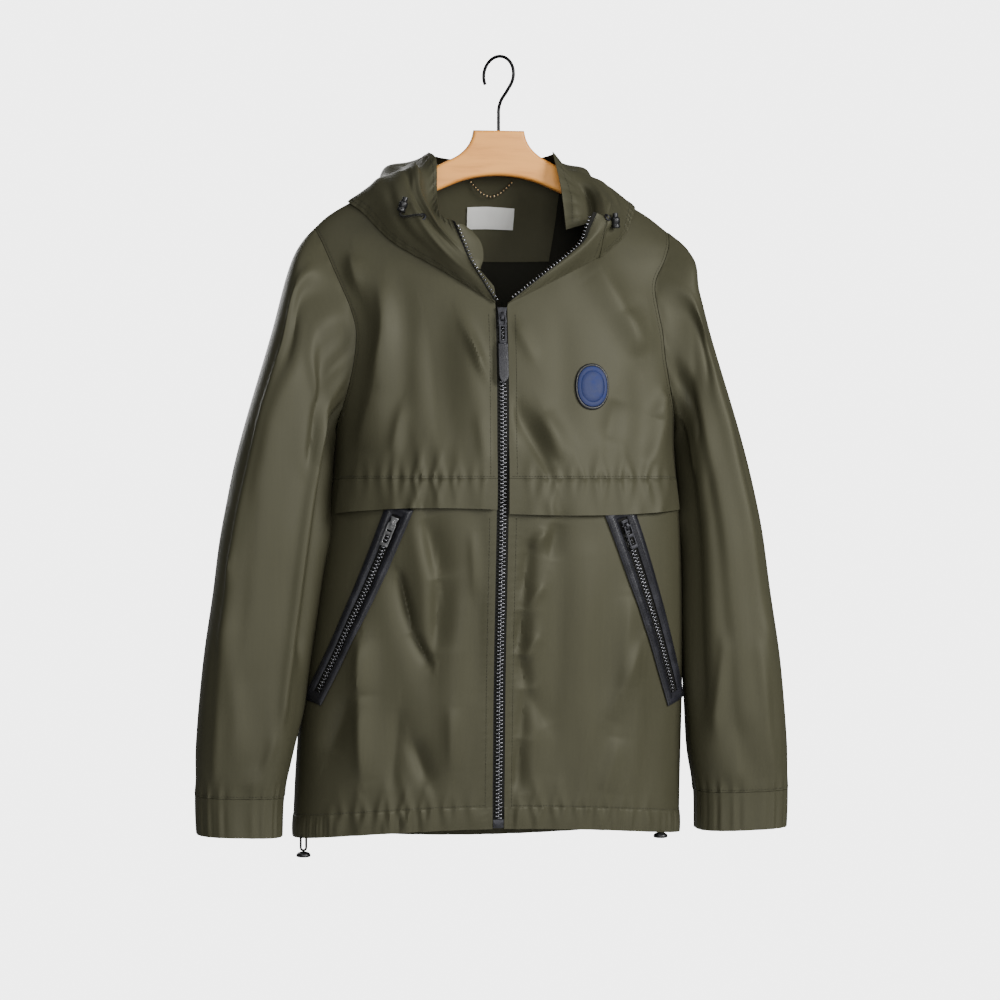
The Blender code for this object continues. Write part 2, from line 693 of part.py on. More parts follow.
def back_row(step):
    """Angles and levels of one row of the back's left half, from the middle to its side edge."""
    turn = ARM_ROWS / BACK_ROWS
    t = step / BACK_ROWS
    outer = side_edge(t, turn, SIDE_HEM - HEM_HEIGHT)
    middle = mix(back_top(0.0), BACK_HEM - HEM_HEIGHT, t)
    last = abs(angle_at(*outer))
    row = []
    for across in range(BACK_COLUMNS + 1):
        share = across / BACK_COLUMNS
        level = mix(middle, outer[1], share ** 1.5)
        if step > ARM_ROWS:
            straight = mix(ARMHOLE[-1].down, hem_level(180.0 - last * share, HEM_HEIGHT), (t - turn) / (1.0 - turn))
            level = mix(level, straight, ease((t - turn) / 0.3))
        x = half_width(level) * math.sin(math.radians(last * share))
        if step < 1:
            level = back_top(x) + mix(0.010 * ease(step / BACK_EXTRA_ROW), outer[1] - shoulder(outer[0]), share ** 2)
        row.append(back_place(x, level))
    return row


def back_rows(lift, wall, steps, columns):
    """Pairs of points of part of the back, on its own grid, moved out by lift."""
    rows = []
    for step in steps:
        half = back_row(step)[:columns + 1]
        right_half = [(-angle, level) for angle, level in reversed(half[1:])]
        rows.append([lay(angle, level, lift, wall) for angle, level in right_half + half])
    return rows


def make_back(garment):
    steps = [0, BACK_EXTRA_ROW] + list(range(1, BACK_ROWS + 1))
    shell("back", back_rows(0.0, WALL, steps, BACK_COLUMNS), "nylon", garment)


def sleeve_ring(station, angle):
    """Point of one ring: 0 outer edge, 90 front, 180 under the arm, 270 back."""
    turn = math.radians(angle)
    power = 2.0 / SLEEVE_SQUARENESS
    along = math.copysign(abs(math.cos(turn)) ** power, math.cos(turn))
    forward = math.copysign(abs(math.sin(turn)) ** power, math.sin(turn))
    x = mix(station.under_x, station.top_x, (1.0 + along) / 2.0)
    down = mix(station.under_down, station.top_down, (1.0 + along) / 2.0)
    return Vector((x, station.middle_y - forward * station.half_depth, -down))


def armhole_point(angle):
    angle %= 360.0
    back = angle > 180.0
    down = armhole_down(angle)
    point = torso(abs(angle_at(armhole_across(down), down, back)), down)
    return point + Vector((SLEEVE_SEAM_GAP, 0.0, 0.0))


def sleeve_base(angle, ring):
    """Smooth curve through the armhole and the rings at one angle."""
    last = len(SLEEVE)
    ring = min(float(last), max(0.0, ring))
    low = min(int(ring), last - 1)

    def at(row):
        row = min(last, max(0, row))
        return armhole_point(angle) if row == 0 else sleeve_ring(SLEEVE[row - 1], angle)

    before, start, end, after = at(low - 1), at(low), at(low + 1), at(low + 2)
    s = ring - low
    return 0.5 * ((2.0 * start) + (end - before) * s
                  + (2.0 * before - 5.0 * start + 4.0 * end - after) * s * s
                  + (3.0 * start - before - 3.0 * end + after) * s ** 3)


def sleeve_normal(angle, ring):
    turn, step = 4.0, 0.05
    around = sleeve_base(angle + turn, ring) - sleeve_base(angle - turn, ring)
    downward = sleeve_base(angle, ring + step) - sleeve_base(angle, ring - step)
    return around.cross(downward).normalized()


def sleeve_fold(angle, ring):
    total = 0.0
    for fold in SLEEVE_FOLDS:
        place = min(1.0, max(0.0, (ring - fold.ring0) / (fold.ring1 - fold.ring0)))
        middle = mix(fold.angle0, fold.angle1, place)
        beyond = (ring - mix(fold.ring0, fold.ring1, place)) * 40.0
        away = math.hypot(angle - middle, beyond)
        total += fold.height * math.exp(-(away / fold.width) ** 2)
    return total * ease(ring / 0.8) * ease((CUFF_SEAM - ring) / 0.4)


def sleeve_pair(angle, ring, lift=0.0, wall=WALL):
    normal = sleeve_normal(angle, ring)
    outside = sleeve_base(angle, ring) + normal * (lift + sleeve_fold(angle, ring))
    return outside, outside - normal * wall


def make_sleeves(garment):
    rows = []
    last = CUFF_SEAM - 0.004
    for step in range(SLEEVE_ROWS + 1):
        ring = last * step / SLEEVE_ROWS
        rows.append([sleeve_pair(360.0 * here / SLEEVE_COLUMNS, ring) for here in range(SLEEVE_COLUMNS)])
    shell("sleeve_left", swayed(rows), "nylon", garment, closed=True)
    shell("sleeve_right", swayed(mirrored(rows)), "nylon", garment, closed=True)


def make_cuffs(garment):
    columns = CUFF_GATHER.count * POINTS_PER_GATHER
    rows = []
    for ring, puff in ((CUFF_SEAM + 0.004, 0.3), (mix(CUFF_SEAM, CUFF_END, 0.5), 1.0), (CUFF_END, 0.7)):
        row = []
        for here in range(columns):
            share = here / columns
            wave = CUFF_GATHER.height * puff * math.cos(math.tau * CUFF_GATHER.count * share)
            row.append(sleeve_pair(360.0 * share, ring, wave, DOUBLE_WALL))
        rows.append(row)
    shell("cuff_left", swayed(rows), "nylon", garment, closed=True)
    shell("cuff_right", swayed(mirrored(rows)), "nylon", garment, closed=True)


def mirror_section(section):
    return section._replace(seam_x=-section.seam_x, crest_x=-section.crest_x, edge_x=-section.edge_x)


def hood_sections():
    """All sections in order, each as its five guiding points."""
    left_back = tuple(mirror_section(section) for section in reversed(HOOD_RIGHT_BACK))
    order = HOOD_RIGHT_FRONT + HOOD_RIGHT_BACK + (HOOD_MIDDLE,) + left_back + HOOD_LEFT_FRONT
    first_back = len(HOOD_RIGHT_FRONT) + 1
    last_back = first_back + 4
    guides = []
    for number, section in enumerate(order):
        back = first_back <= number <= last_back
        seam = lay_at(section.seam_x, max(section.seam_down, shoulder(section.seam_x)), HOOD_LIFT, back=back)[0]
        crest = Vector((section.crest_x, section.crest_y, -section.crest_down))
        edge = Vector((section.edge_x, section.edge_y, -section.edge_down))
        turn = (seam + crest) / 2.0 + Vector((0.0, section.puff_y, -section.puff_down))
        dip = crest.lerp(edge, section.tuck_at) + Vector((0.0, section.tuck_back, -section.tuck))
        guides.append((seam, turn, crest, dip, edge))
    return guides


def hood_curve(guide, v):
    """Point along one section, from its seam (0) to its free edge (1)."""
    return Vector([smooth(HOOD_STOPS, [point[axis] for point in guide], v) for axis in range(3)])


HOOD_GUIDES = []


def hood(u, v):
    """Smooth surface through the sections: u counts the sections, v runs along them."""
    last = len(HOOD_GUIDES) - 1
    u = min(float(last), max(0.0, u))
    numbers = list(range(last + 1))
    low = min(int(u), last - 1)
    near = [min(last, max(0, low + offset)) for offset in (-1, 0, 1, 2)]
    points = [hood_curve(HOOD_GUIDES[number], v) for number in near]
    before, start, end, after = points
    s = u - numbers[low]
    point = 0.5 * ((2.0 * start) + (end - before) * s
                   + (2.0 * before - 5.0 * start + 4.0 * end - after) * s * s
                   + (3.0 * start - before - 3.0 * end + after) * s ** 3)
    if v < 0.6 and HOOD_BACK_FIRST < u < HOOD_BACK_LAST:
        behind = lay_at(point.x, max(-point.z, shoulder(point.x) + RIDGE_CLEAR), HOOD_LIFT, back=True)[0]
        point.y = max(point.y, behind.y)
    return point


def hood_normal(u, v):
    step_u, step_v = 0.06, 0.02
    along = hood(u + step_u, v) - hood(u - step_u, v)
    upward = hood(u, min(1.0, v + step_v)) - hood(u, max(0.0, v - step_v))
    return upward.cross(along).normalized()


def hood_pair(u, v, lift=0.0, wall=WALL):
    normal = hood_normal(u, v)
    outside = hood(u, v) + normal * lift
    return outside, outside - normal * wall


def make_hood(garment):
    gap = 0.003
    spans = (
        ("hood_right", 0.0, HOOD_SEAM_RIGHT - gap, 16),
        ("hood_middle", HOOD_SEAM_RIGHT + gap, HOOD_SEAM_LEFT - gap, 6),
        ("hood_left", HOOD_SEAM_LEFT + gap, HOOD_LAST, 15),
    )
    for name, first, last, columns in spans:
        rows = []
        for step in range(HOOD_ROWS + 1):
            v = step / HOOD_ROWS
            rows.append([hood_pair(mix(first, last, here / columns), v) for here in range(columns + 1)])
        shell(name, rows, "nylon", garment)


def collar(share, v):
    """Left front of the collar: share runs from the zip's edge to the hood, v from the neck seam up."""
    def across(height):
        start = Vector((smooth(HOOD_STOPS, column(COLLAR_EDGE, "x"), height),
                        smooth(HOOD_STOPS, column(COLLAR_EDGE, "y"), height),
                        -smooth(HOOD_STOPS, column(COLLAR_EDGE, "down"), height)))
        end = hood(float(HOOD_LAST), COLLAR_TOP * height)
        return start.lerp(end + (start - end).normalized() * COLLAR_GAP, share)

    foot = across(0.0)
    laid = lay_at(foot.x, -foot.z, HOOD_LIFT)[0]
    puff = COLLAR_PUFF * math.sin(math.pi * share) * math.sin(math.pi * v)
    return across(v) + (laid - foot) * (1.0 - v) ** 2 - Vector((0.0, puff, 0.0))


def collar_normal(share, v):
    step = 0.03
    along = collar(share + step, v) - collar(share - step, v)
    upward = collar(share, min(1.0, v + step)) - collar(share, max(0.0, v - step))
    return along.cross(upward).normalized()


def make_collar(garment):
    rows = []
    for step in range(HOOD_ROWS + 1):
        v = step / HOOD_ROWS
        row = []
        for here in range(COLLAR_COLUMNS + 1):
            share = here / COLLAR_COLUMNS
            outside = collar(share, v)
            row.append((outside, outside - collar_normal(share, v) * WALL))
        rows.append(row)
    shell("collar_left", rows, "nylon", garment)


def zip_end_pair(side, v, away, lift, wall):
    """Point beside the open front edge of one side, carried on past it."""
    if side == "right":
        edge, next_to = hood(0.0, v), hood(0.08, v)
        normal = hood_normal(0.0, v)
    else:
        edge, next_to = collar(0.0, v), collar(0.05, v)
        normal = collar_normal(0.0, v)
    outside = edge + (edge - next_to).normalized() * away + normal * lift
    return outside, outside - normal * wall


def make_zip_ends(garment):
    for side in ("right", "left"):
        rows = []
        for away in (2.0 * SEAM_GAP, ZIP_END_WIDTH):
            rows.append([zip_end_pair(side, step / HOOD_ROWS, away, 0.0002, 0.0016)
                         for step in range(1, HOOD_ROWS + 1)])
        shell("zip_end_" + side, rows, "gunmetal", garment)


def make_chin_guard(garment):
    """Rounded inner flap behind the right-hand zip end."""
    inward = Vector((0.93, 0.36, 0.0))
    rows = []
    for share in (0.0, 0.35, 0.7, 1.0):
        row = []
        for step in range(9):
            place = step / 8
            start = zip_end_pair("right", mix(0.52, 0.97, place), 0.001, -0.0019, 0.001)[0]
            width = CHIN_GUARD_WIDTH * math.sin(math.pi * (0.05 + 0.85 * place ** 1.4)) ** 0.7
            outside = start + inward * (width * share)
            row.append((outside, outside + Vector((-0.36, 0.93, 0.0)) * 0.001))
        rows.append(row)
    shell("chin_guard", rows, "nylon", garment)


def make_zip(garment):
    steps = 17
    strips = (
        ("zip_tape_right", -ZIP_HALF + SEAM_GAP, -TEETH_HALF - SEAM_GAP / 2.0, -0.0004, WALL, "zip_tape"),
        ("zip_teeth", -TEETH_HALF, TEETH_HALF, 0.0008, 0.0024, "gunmetal"),
        ("zip_tape_left", TEETH_HALF + SEAM_GAP / 2.0, ZIP_HALF - SEAM_GAP, -0.0004, WALL, "zip_tape"),
    )
    for name, first, last, lift, wall, material in strips:
        rows = []
        for step in range(steps + 1):
            down = mix(ZIP_TOP + 0.006, ZIP_BOTTOM, step / steps)
            rows.append([lay_at(x, down, lift, wall) for x in (first, last)])
        shell(name, rows, material, garment)
    top = ZIP_BOTTOM + SEAM_GAP
    rows = [[lay_at(x, down, 0.0012, 0.0030) for x in (-0.0058, 0.0, 0.0058)] for down in (top, top + ZIP_STOP)]
    shell("zip_stop", rows, "gunmetal", garment)


def surface_frame(x, down, towards):
    """Matrix of a place on the front: local Y runs towards a second place, local Z stands off the cloth."""
    here = lay_at(x, down)[0]
    there = lay_at(*towards)[0]
    normal = torso_normal(angle_at(x, down), down)
    along = (there - here)
    along = (along - normal * along.dot(normal)).normalized()
    across = along.cross(normal)
    frame = Matrix((across, along, normal)).transposed().to_4x4()
    frame.translation = here
    return frame


def outline(name, loops, half_thick, material, parent, bevel=0.0):
    """Flat plate from closed loops of (x, y) points; the loops inside the first are holes."""
    data = bpy.data.curves.new(name, "CURVE")
    data.dimensions = "2D"
    data.fill_mode = "BOTH"
    data.extrude = half_thick - bevel
    data.bevel_depth = bevel
    data.bevel_resolution = 1
    data.offset = -bevel
    for loop in loops:
        spline = data.splines.new("POLY")
        spline.points.add(len(loop) - 1)
        spline.use_cyclic_u = True
        for point, (x, y) in zip(spline.points, loop):
            point.co = (x, y, 0.0, 1.0)
    return finish_object(name, data, material, parent)


def rectangle(half_x, low_y, high_y, corner):
    """Rectangle with cut corners, as a loop of points."""
    return [(half_x, low_y + corner), (half_x, high_y - corner), (half_x - corner, high_y),
            (corner - half_x, high_y), (-half_x, high_y - corner), (-half_x, low_y + corner),
            (corner - half_x, low_y), (half_x - corner, low_y)]


def make_slider(name, size, frame, material, garment):
    """Slider plate, and the bridge on it that the pull turns in."""
    plate = outline(name + "_slider", [rectangle(size.width / 2.0, -size.length / 2.0, size.length / 2.0, 0.002)],
                    size.plate / 2.0, material, garment)
    plate.matrix_local = frame @ Matrix.Translation((0.0, 0.0, size.lift - size.plate / 2.0))
    half, top = size.bridge_length / 2.0, size.bridge_height
    leg, roof = 0.0015, 0.0010
    arch = [(-half, 0.0), (-half, top - 0.001), (0.001 - half, top), (half - 0.001, top), (half, top - 0.001),
            (half, 0.0), (half - leg, 0.0), (half - leg, top - roof), (leg - half, top - roof), (leg - half, 0.0)]
    bridge = outline(name + "_bridge", [arch], size.bridge_width / 2.0, material, garment)
    stand_up = Matrix(((0.0, 0.0, 1.0, 0.0), (1.0, 0.0, 0.0, 0.0), (0.0, 1.0, 0.0, 0.0), (0.0, 0.0, 0.0, 1.0)))
    bridge.matrix_local = frame @ Matrix.Translation((0.0, 0.0, size.lift + SEAM_GAP)) @ stand_up


def make_pull(name, size, frame, slider, material, garment):
    """Flat pull whose top bar lies in the bridge, with its origin on that bar's middle."""
    half = size.width / 2.0
    bar = size.bar / 2.0
    eye = rectangle(half - 0.0016, bar, bar + size.eye_length, 0.0006)
    window = rectangle(half - 0.0022, size.window_top, size.window_top + size.window_length, 0.0006)
    pull = outline(name, [rectangle(half, -bar, size.length, 0.0012), eye, window], size.thick / 2.0,
                   material, garment)
    height = slider.lift + SEAM_GAP + (slider.bridge_height - 0.0010) / 2.0
    place = frame @ Matrix.Translation((0.0, 0.0, height))
    pull.matrix_local = place
    return place


def make_main_slider(garment):
    middle = ZIP_TOP + 0.013
    frame = surface_frame(0.0, middle, (0.0, 0.370))
    make_slider("zip", MAIN_SLIDER, frame, "gunmetal", garment)
    place = make_pull("zip_pull", MAIN_PULL, frame, MAIN_SLIDER, "gunmetal", garment)
    half, point = TAB_WIDTH / 2.0, 0.006
    top = MAIN_PULL.length + SEAM_GAP
    strap = [(half, top), (half, top + TAB_LENGTH - point), (half * 0.35, top + TAB_LENGTH),
             (-half * 0.35, top + TAB_LENGTH), (-half, top + TAB_LENGTH - point), (-half, top)]
    tab = outline("zip_tab", [strap], TAB_THICK / 2.0, "leather", garment, 0.0005)
    tab.matrix_local = place


def pocket_place(pocket, share, across):
    """Place on a pocket seen from the front: share runs down it, across is -1 to 1 over its width."""
    top, bottom = pocket
    run = Vector((bottom.x - top.x, bottom.down - top.down)).normalized()
    half = mix(top.half_width, bottom.half_width, share)
    x = mix(top.x, bottom.x, share) + run.y * half * across
    down = mix(top.down, bottom.down, share) - run.x * half * across
    return x, down


def pocket_loop(border, half, steps):
    """Places round the welt's edge (border 0) or round the slot inside it."""
    first, last = border, 1.0 - border
    ends = (0.5, 0.0, -0.5)
    down_side = [(mix(first, last, step / steps), half) for step in range(steps + 1)]
    up_side = [(mix(last, first, step / steps), -half) for step in range(steps + 1)]
    low_end = [(last, half * across) for across in ends]
    high_end = [(first, -half * across) for across in ends]
    return down_side + low_end + up_side + high_end


def make_pockets(garment):
    for name, pocket in POCKETS.items():
        top, bottom = pocket
        border = POCKET_END_BORDER / math.hypot(bottom.x - top.x, bottom.down - top.down)
        slot = POCKET_SLOT / top.half_width
        rows = []
        for loop_border, half in ((0.0, 1.0), (border * 0.55, mix(slot, 1.0, 0.5)), (border, slot)):
            loop = [pocket_place(pocket, *place) for place in pocket_loop(loop_border, half, 12)]
            rows.append([lay_at(x, down, POCKET_LIFT) for x, down in loop])
        shell("pocket_welt_" + name, rows, "leather", garment, closed=True)
        rows = []
        for step in range(13):
            share = mix(border * 1.03, 1.0 - border * 1.03, step / 12)
            row = [pocket_place(pocket, share, across) for across in (-slot * 0.93, 0.0, slot * 0.93)]
            rows.append([lay_at(x, down, POCKET_LIFT - 0.0001) for x, down in row])
        shell("pocket_zip_" + name, rows, "zip_tape", garment)
        here = pocket_place(pocket, POCKET_SLIDER_PLACE, 0.0)
        frame = surface_frame(*here, pocket_place(pocket, POCKET_SLIDER_PLACE + 0.1, 0.0))
        metal = "steel" if name == "right" else "gunmetal"
        make_slider("pocket_" + name, POCKET_SLIDER, frame, metal, garment)
        make_pull("pocket_pull_" + name, POCKET_PULL, frame, POCKET_SLIDER, metal, garment)


def disc_rows(x, down, half_width_, half_height, lift, wall, steps=6):
    """Oval patch laid on the front: a square grid drawn in to a disc."""
    rows = []
    for i in range(steps + 1):
        t = 2.0 * i / steps - 1.0
        row = []
        for j in range(steps + 1):
            s = 2.0 * j / steps - 1.0
            across = s * math.sqrt(1.0 - t * t / 2.0)
            along = t * math.sqrt(1.0 - s * s / 2.0)
            row.append(lay_at(x + half_width_ * across, down + half_height * along, lift, wall))
        rows.append(row)
    return rows


def make_badge(garment):
    base = BADGE_GAP + WALL
    shell("badge_base", disc_rows(BADGE_X, BADGE_DOWN, BADGE_HALF_WIDTH, BADGE_HALF_HEIGHT, base, WALL),
          "plastic", garment)
    face = base + 0.0004 + 0.0009
    shell("badge_face", disc_rows(BADGE_X, BADGE_DOWN, BADGE_HALF_WIDTH - BADGE_RIM,
                                  BADGE_HALF_HEIGHT - BADGE_RIM, face, 0.0009), "badge", garment)


def grid_point(rows, row, place):
    """Point on the inside of a wall between its grid points, and the way it faces there."""
    low, left = int(row), int(place)
    down, along = row - low, place - left
    pairs = (rows[low][left], rows[low][left + 1], rows[low + 1][left], rows[low + 1][left + 1])
    shares = ((1.0 - down) * (1.0 - along), (1.0 - down) * along, down * (1.0 - along), down * along)
    point = sum((pair[1] * share for pair, share in zip(pairs, shares)), Vector())
    facing = sum(((pair[1] - pair[0]) * share for pair, share in zip(pairs, shares)), Vector())
    return point, facing.normalized()


def make_neck_inside(garment):
    """Facing behind the neck on the back's own grid, the bare label on it and the hang loop."""
    behind = -(WALL + 0.0008)
    facing = back_rows(behind, FACING_WALL, (0, BACK_EXTRA_ROW, 1, 2, 3), FACING_COLUMNS)
    facing[-1] = [tuple(mix(high, low, FACING_LAST_ROW) for high, low in zip(upper, lower))
                  for upper, lower in zip(facing[-2], facing[-1])]
    shell("neck_facing", facing, "nylon", garment)
    rows = []
    for step in range(4):
        row = []
        for here in range(7):
            point, inward = grid_point(facing, mix(*LABEL_ROWS, step / 3), mix(*LABEL_PLACES, here / 6))
            row.append((point + inward * 0.0007, point + inward * 0.0017))
        rows.append(row)
    shell("label", rows, "label", garment)
    points = []
    for step in range(15):
        share = step / 14
        x = mix(*LOOP_ENDS, share)
        down = LOOP_TOP + LOOP_SAG * math.sin(math.pi * share)
        stand = -(WALL + 0.0008 + FACING_WALL + LOOP_RADIUS + 0.0006 + 0.004 * math.sin(math.pi * share))
        points.append(lay_at(x + 0.0001, down, stand, back=True)[0])
    tube("hang_loop", points, LOOP_RADIUS, "gunmetal", garment)


def tube(name, points, radius, material, parent):
    data = bpy.data.curves.new(name, "CURVE")
    data.dimensions = "3D"
    data.bevel_depth = radius
    data.bevel_resolution = 1
    data.use_fill_caps = True
    spline = data.splines.new("POLY")
    spline.points.add(len(points) - 1)
    for point, place in zip(spline.points, points):
        point.co = (*place, 1.0)
    return finish_object(name, data, material, parent)


def turned(name, profile, material, parent):
    """Turned piece round local Z, from rows of radius and height."""
    mesh = bmesh.new()
    corners = [mesh.verts.new((row.radius, 0.0, row.height)) for row in profile]
    for here in range(len(corners)):
        mesh.edges.new((corners[here], corners[(here + 1) % len(corners)]))
    data = bpy.data.meshes.new(name)
    mesh.to_mesh(data)
    mesh.free()
    made = finish_object(name, data, material, parent)
    screw = made.modifiers.new("Turn", "SCREW")
    screw.axis = "Z"
    screw.steps = 12
    screw.render_steps = 12
    screw.use_merge_vertices = True
    screw.merge_threshold = 0.00005
    screw.use_normal_flip = True
    return made


def place_on(made, origin, up):
    made.matrix_local = Matrix.Translation(origin) @ up.to_track_quat("Z", "Y").to_matrix().to_4x4()


def make_hood_cords(garment):
    """Eyelet and toggle on each side of the hood's front; the right one shows its drawcord end."""
    places = (("right", 1.62, 0.50, 2.16, 0.34, 0.20), ("left", 12.90, 0.61, 12.36, 0.30, 0.22))
    for name, eye_u, eye_v, toggle_u, toggle_v, reach in places:
        eye, normal = hood(eye_u, eye_v), hood_normal(eye_u, eye_v)
        eyelet = turned("hood_eyelet_" + name, EYELET, "gunmetal", garment)
        place_on(eyelet, eye + normal * 0.0006, normal)
        low, out = hood(toggle_u, toggle_v), hood_normal(toggle_u, toggle_v)
        high = hood(toggle_u, toggle_v + reach)
        axis = (high - low)
        axis = (axis - out * axis.dot(out)).normalized()
        foot = low + out * 0.0054 - axis * 0.002
        toggle = turned("hood_toggle_" + name, TOGGLE, "plastic", garment)
        place_on(toggle, foot, axis)
        if name == "left":
            continue
        start = eye + normal * 0.0024
        finish = foot - axis * SEAM_GAP
        bend = 0.012
        points = []
        for step in range(15):
            share = step / 14
            keep = 1.0 - share
            point = (start * keep ** 3 + (start + normal * bend) * 3 * share * keep ** 2
                     + (finish - axis * bend) * 3 * keep * share ** 2 + finish * share ** 3)
            points.append(point)
        tube("hood_cord_" + name, points, CORD_RADIUS, "cord", garment)


EYELET = (
    ToggleRow(0.0020, 0.0000),
    ToggleRow(0.0045, 0.0000),
    ToggleRow(0.0042, 0.0009),
    ToggleRow(0.0024, 0.0011),
)


def make_hem_cords(garment):
    """Toggles at the hem's ends; on the right the cord's loop shows above its toggle."""
    for name, place in (("right", HEM_TOGGLE_RIGHT), ("left", HEM_TOGGLE_LEFT)):
        toggle = turned("hem_toggle_" + name, HEM_TOGGLE, "plastic", garment)
        place_on(toggle, place, Vector((0.0, 0.0, 1.0)))
    foot = HEM_TOGGLE_RIGHT.z + HEM_TOGGLE[-1].height + CORD_RADIUS + SEAM_GAP
    middle = foot + HEM_LOOP_HALF
    points = []
    for step in range(5):
        points.append((-HEM_LOOP_HALF, mix(-HEM_LOOP_TOP, middle, step / 5)))
    for step in range(9):
        turn = math.pi * step / 8
        points.append((-HEM_LOOP_HALF * math.cos(turn), middle - HEM_LOOP_HALF * math.sin(turn)))
    for step in range(5):
        points.append((HEM_LOOP_HALF, mix(middle, -HEM_LOOP_TOP, (step + 1) / 5)))
    route = [Vector((HEM_TOGGLE_RIGHT.x + x, HEM_TOGGLE_RIGHT.y, z)) for x, z in points]
    tube("hem_cord_right", route, CORD_RADIUS, "cord", garment)


def make_hanger(hanger):
    right_half = [(row.across, -row.down) for row in HANGER_TOP + HANGER_BOTTOM]
    left_half = [(-x, z) for x, z in reversed(right_half[:-1])]
    wood = outline("hanger_wood", [right_half + left_half], HANGER_HALF_THICK, "wood", hanger, HANGER_ROUND)
    wood.rotation_euler = (math.pi / 2.0, 0.0, 0.0)
    points = [(bend.out, bend.down) for bend in HOOK_STEM]
    for step in range(HOOK_STEPS + 1):
        angle = math.radians(mix(HOOK_FIRST_ANGLE, HOOK_LAST_ANGLE, step / HOOK_STEPS))
        points.append((HOOK_RADIUS * math.cos(angle), HOOK_RADIUS - HOOK_WIRE - HOOK_RADIUS * math.sin(angle)))
    route = [Vector((out * math.sin(HOOK_TURN), -out * math.cos(HOOK_TURN), -down)) for out, down in points]
    tube("hanger_hook", route, HOOK_WIRE, "black_wire", hanger)


def empty(name, place):
    made = bpy.data.objects.new(name, None)
    bpy.context.collection.objects.link(made)
    made.location = place
    return made


clear_scene()
MATERIALS = {name: make_material(name) for name in FINISHES}
GARMENT = empty("garment", (GARMENT_SHIFT, 0.0, 0.0))
HANGER = empty("hanger", (0.0, 0.0, 0.0))
HOOD_GUIDES.extend(hood_sections())
make_yokes(GARMENT)
make_flaps(GARMENT)
make_fronts(GARMENT)
make_hems(GARMENT)
make_back(GARMENT)
make_sleeves(GARMENT)
make_cuffs(GARMENT)
make_hood(GARMENT)
make_collar(GARMENT)
make_zip_ends(GARMENT)
make_chin_guard(GARMENT)
make_zip(GARMENT)
make_main_slider(GARMENT)
make_pockets(GARMENT)
make_badge(GARMENT)
make_neck_inside(GARMENT)
make_hood_cords(GARMENT)
make_hem_cords(GARMENT)
make_hanger(HANGER)
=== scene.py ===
"""Looks of a hooded windbreaker on a wooden hanger.

The file is laid out as a Blender add-on and is run as a script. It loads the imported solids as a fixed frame
and builds the cloth, zips, cords, trim, hanger and studio on them. Units are metres, +Z is up and the front
faces -Y. "Down" is the distance below the hook's inside top, which is the origin. Right and left are the
wearer's, so the right side has negative X.
"""
import math

import bmesh
import bpy
import numpy as np
from bpy.props import FloatProperty, FloatVectorProperty, IntProperty, PointerProperty
from mathutils import Matrix, Vector


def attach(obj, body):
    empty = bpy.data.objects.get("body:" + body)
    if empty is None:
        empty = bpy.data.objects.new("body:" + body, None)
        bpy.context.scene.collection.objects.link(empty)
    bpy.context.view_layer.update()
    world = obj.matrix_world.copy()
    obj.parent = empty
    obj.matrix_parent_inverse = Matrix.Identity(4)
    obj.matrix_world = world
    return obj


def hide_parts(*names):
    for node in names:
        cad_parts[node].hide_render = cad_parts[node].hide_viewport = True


bl_info = {
    "name": "Hooded windbreaker on a hanger",
    "version": (1, 0, 0),
    "blender": (4, 5, 0),
    "location": "View3D > Sidebar > Windbreaker",
    "description": "Builds the cloth, zips, cords, trim, hanger and studio of a hung windbreaker",
    "category": "Object",
}

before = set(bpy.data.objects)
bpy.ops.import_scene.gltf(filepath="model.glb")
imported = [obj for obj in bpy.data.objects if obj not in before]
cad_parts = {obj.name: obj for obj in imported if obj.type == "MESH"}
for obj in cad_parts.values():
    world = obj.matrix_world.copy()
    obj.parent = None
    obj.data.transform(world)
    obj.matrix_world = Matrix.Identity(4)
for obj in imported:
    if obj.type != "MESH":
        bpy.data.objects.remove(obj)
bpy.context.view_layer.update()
# The frame brings plain materials named after the slots, so the ones made here start with this
LOOK = "look_"
SIDES = {"left": 1.0, "right": -1.0}
MIRROR = {side: np.array((sign, 1.0, 1.0)) for side, sign in SIDES.items()}

# The body's form, as in the part's source: walls and clearances first
WALL = 0.0012
SEAM_GAP = 0.0003
GARMENT_SHIFT = np.array((-0.008, 0.0, 0.0))
SWAY = -0.005
SWAY_START = 0.30
SWAY_END = 0.72
SWAY_SLEEVE = 0.2185
SWAY_FADE = 0.045
SLIP = 0.088
SLIP_ZIP = 0.030
SLIP_SLEEVE = 0.178
PUSH = 0.0078
PUSH_ACROSS = 0.130
PUSH_REACH = 0.050
# Level where a move sets in and how far it takes to do so, level where it ends and how far that takes
SLIP_LEVELS = (0.235, 0.085, 0.480, 0.400)
PUSH_LEVELS = (0.180, 0.033, 0.222, 0.040)

# Torso rings: level down, half width, depth in front, depth behind
TORSO = np.array((
    (0.100, 0.2260, 0.078, 0.074),
    (0.200, 0.2220, 0.086, 0.080),
    (0.290, 0.2070, 0.096, 0.086),
    (0.415, 0.1910, 0.106, 0.092),
    (0.500, 0.1970, 0.110, 0.097),
    (0.600, 0.2060, 0.107, 0.101),
    (0.720, 0.2140, 0.099, 0.105),
    (0.890, 0.2175, 0.088, 0.108),
))
TORSO_SQUARENESS = 2.5
# Shoulder line: across, down
SHOULDER = np.array((
    (0.000, 0.112), (0.060, 0.118), (0.085, 0.127), (0.120, 0.1435),
    (0.1635, 0.167), (0.184, 0.180), (0.198, 0.193), (0.230, 0.225),
))
SHOULDER_REACH = 0.12
SHOULDER_POWER = 0.70
RIDGE_CLEAR = 0.000002
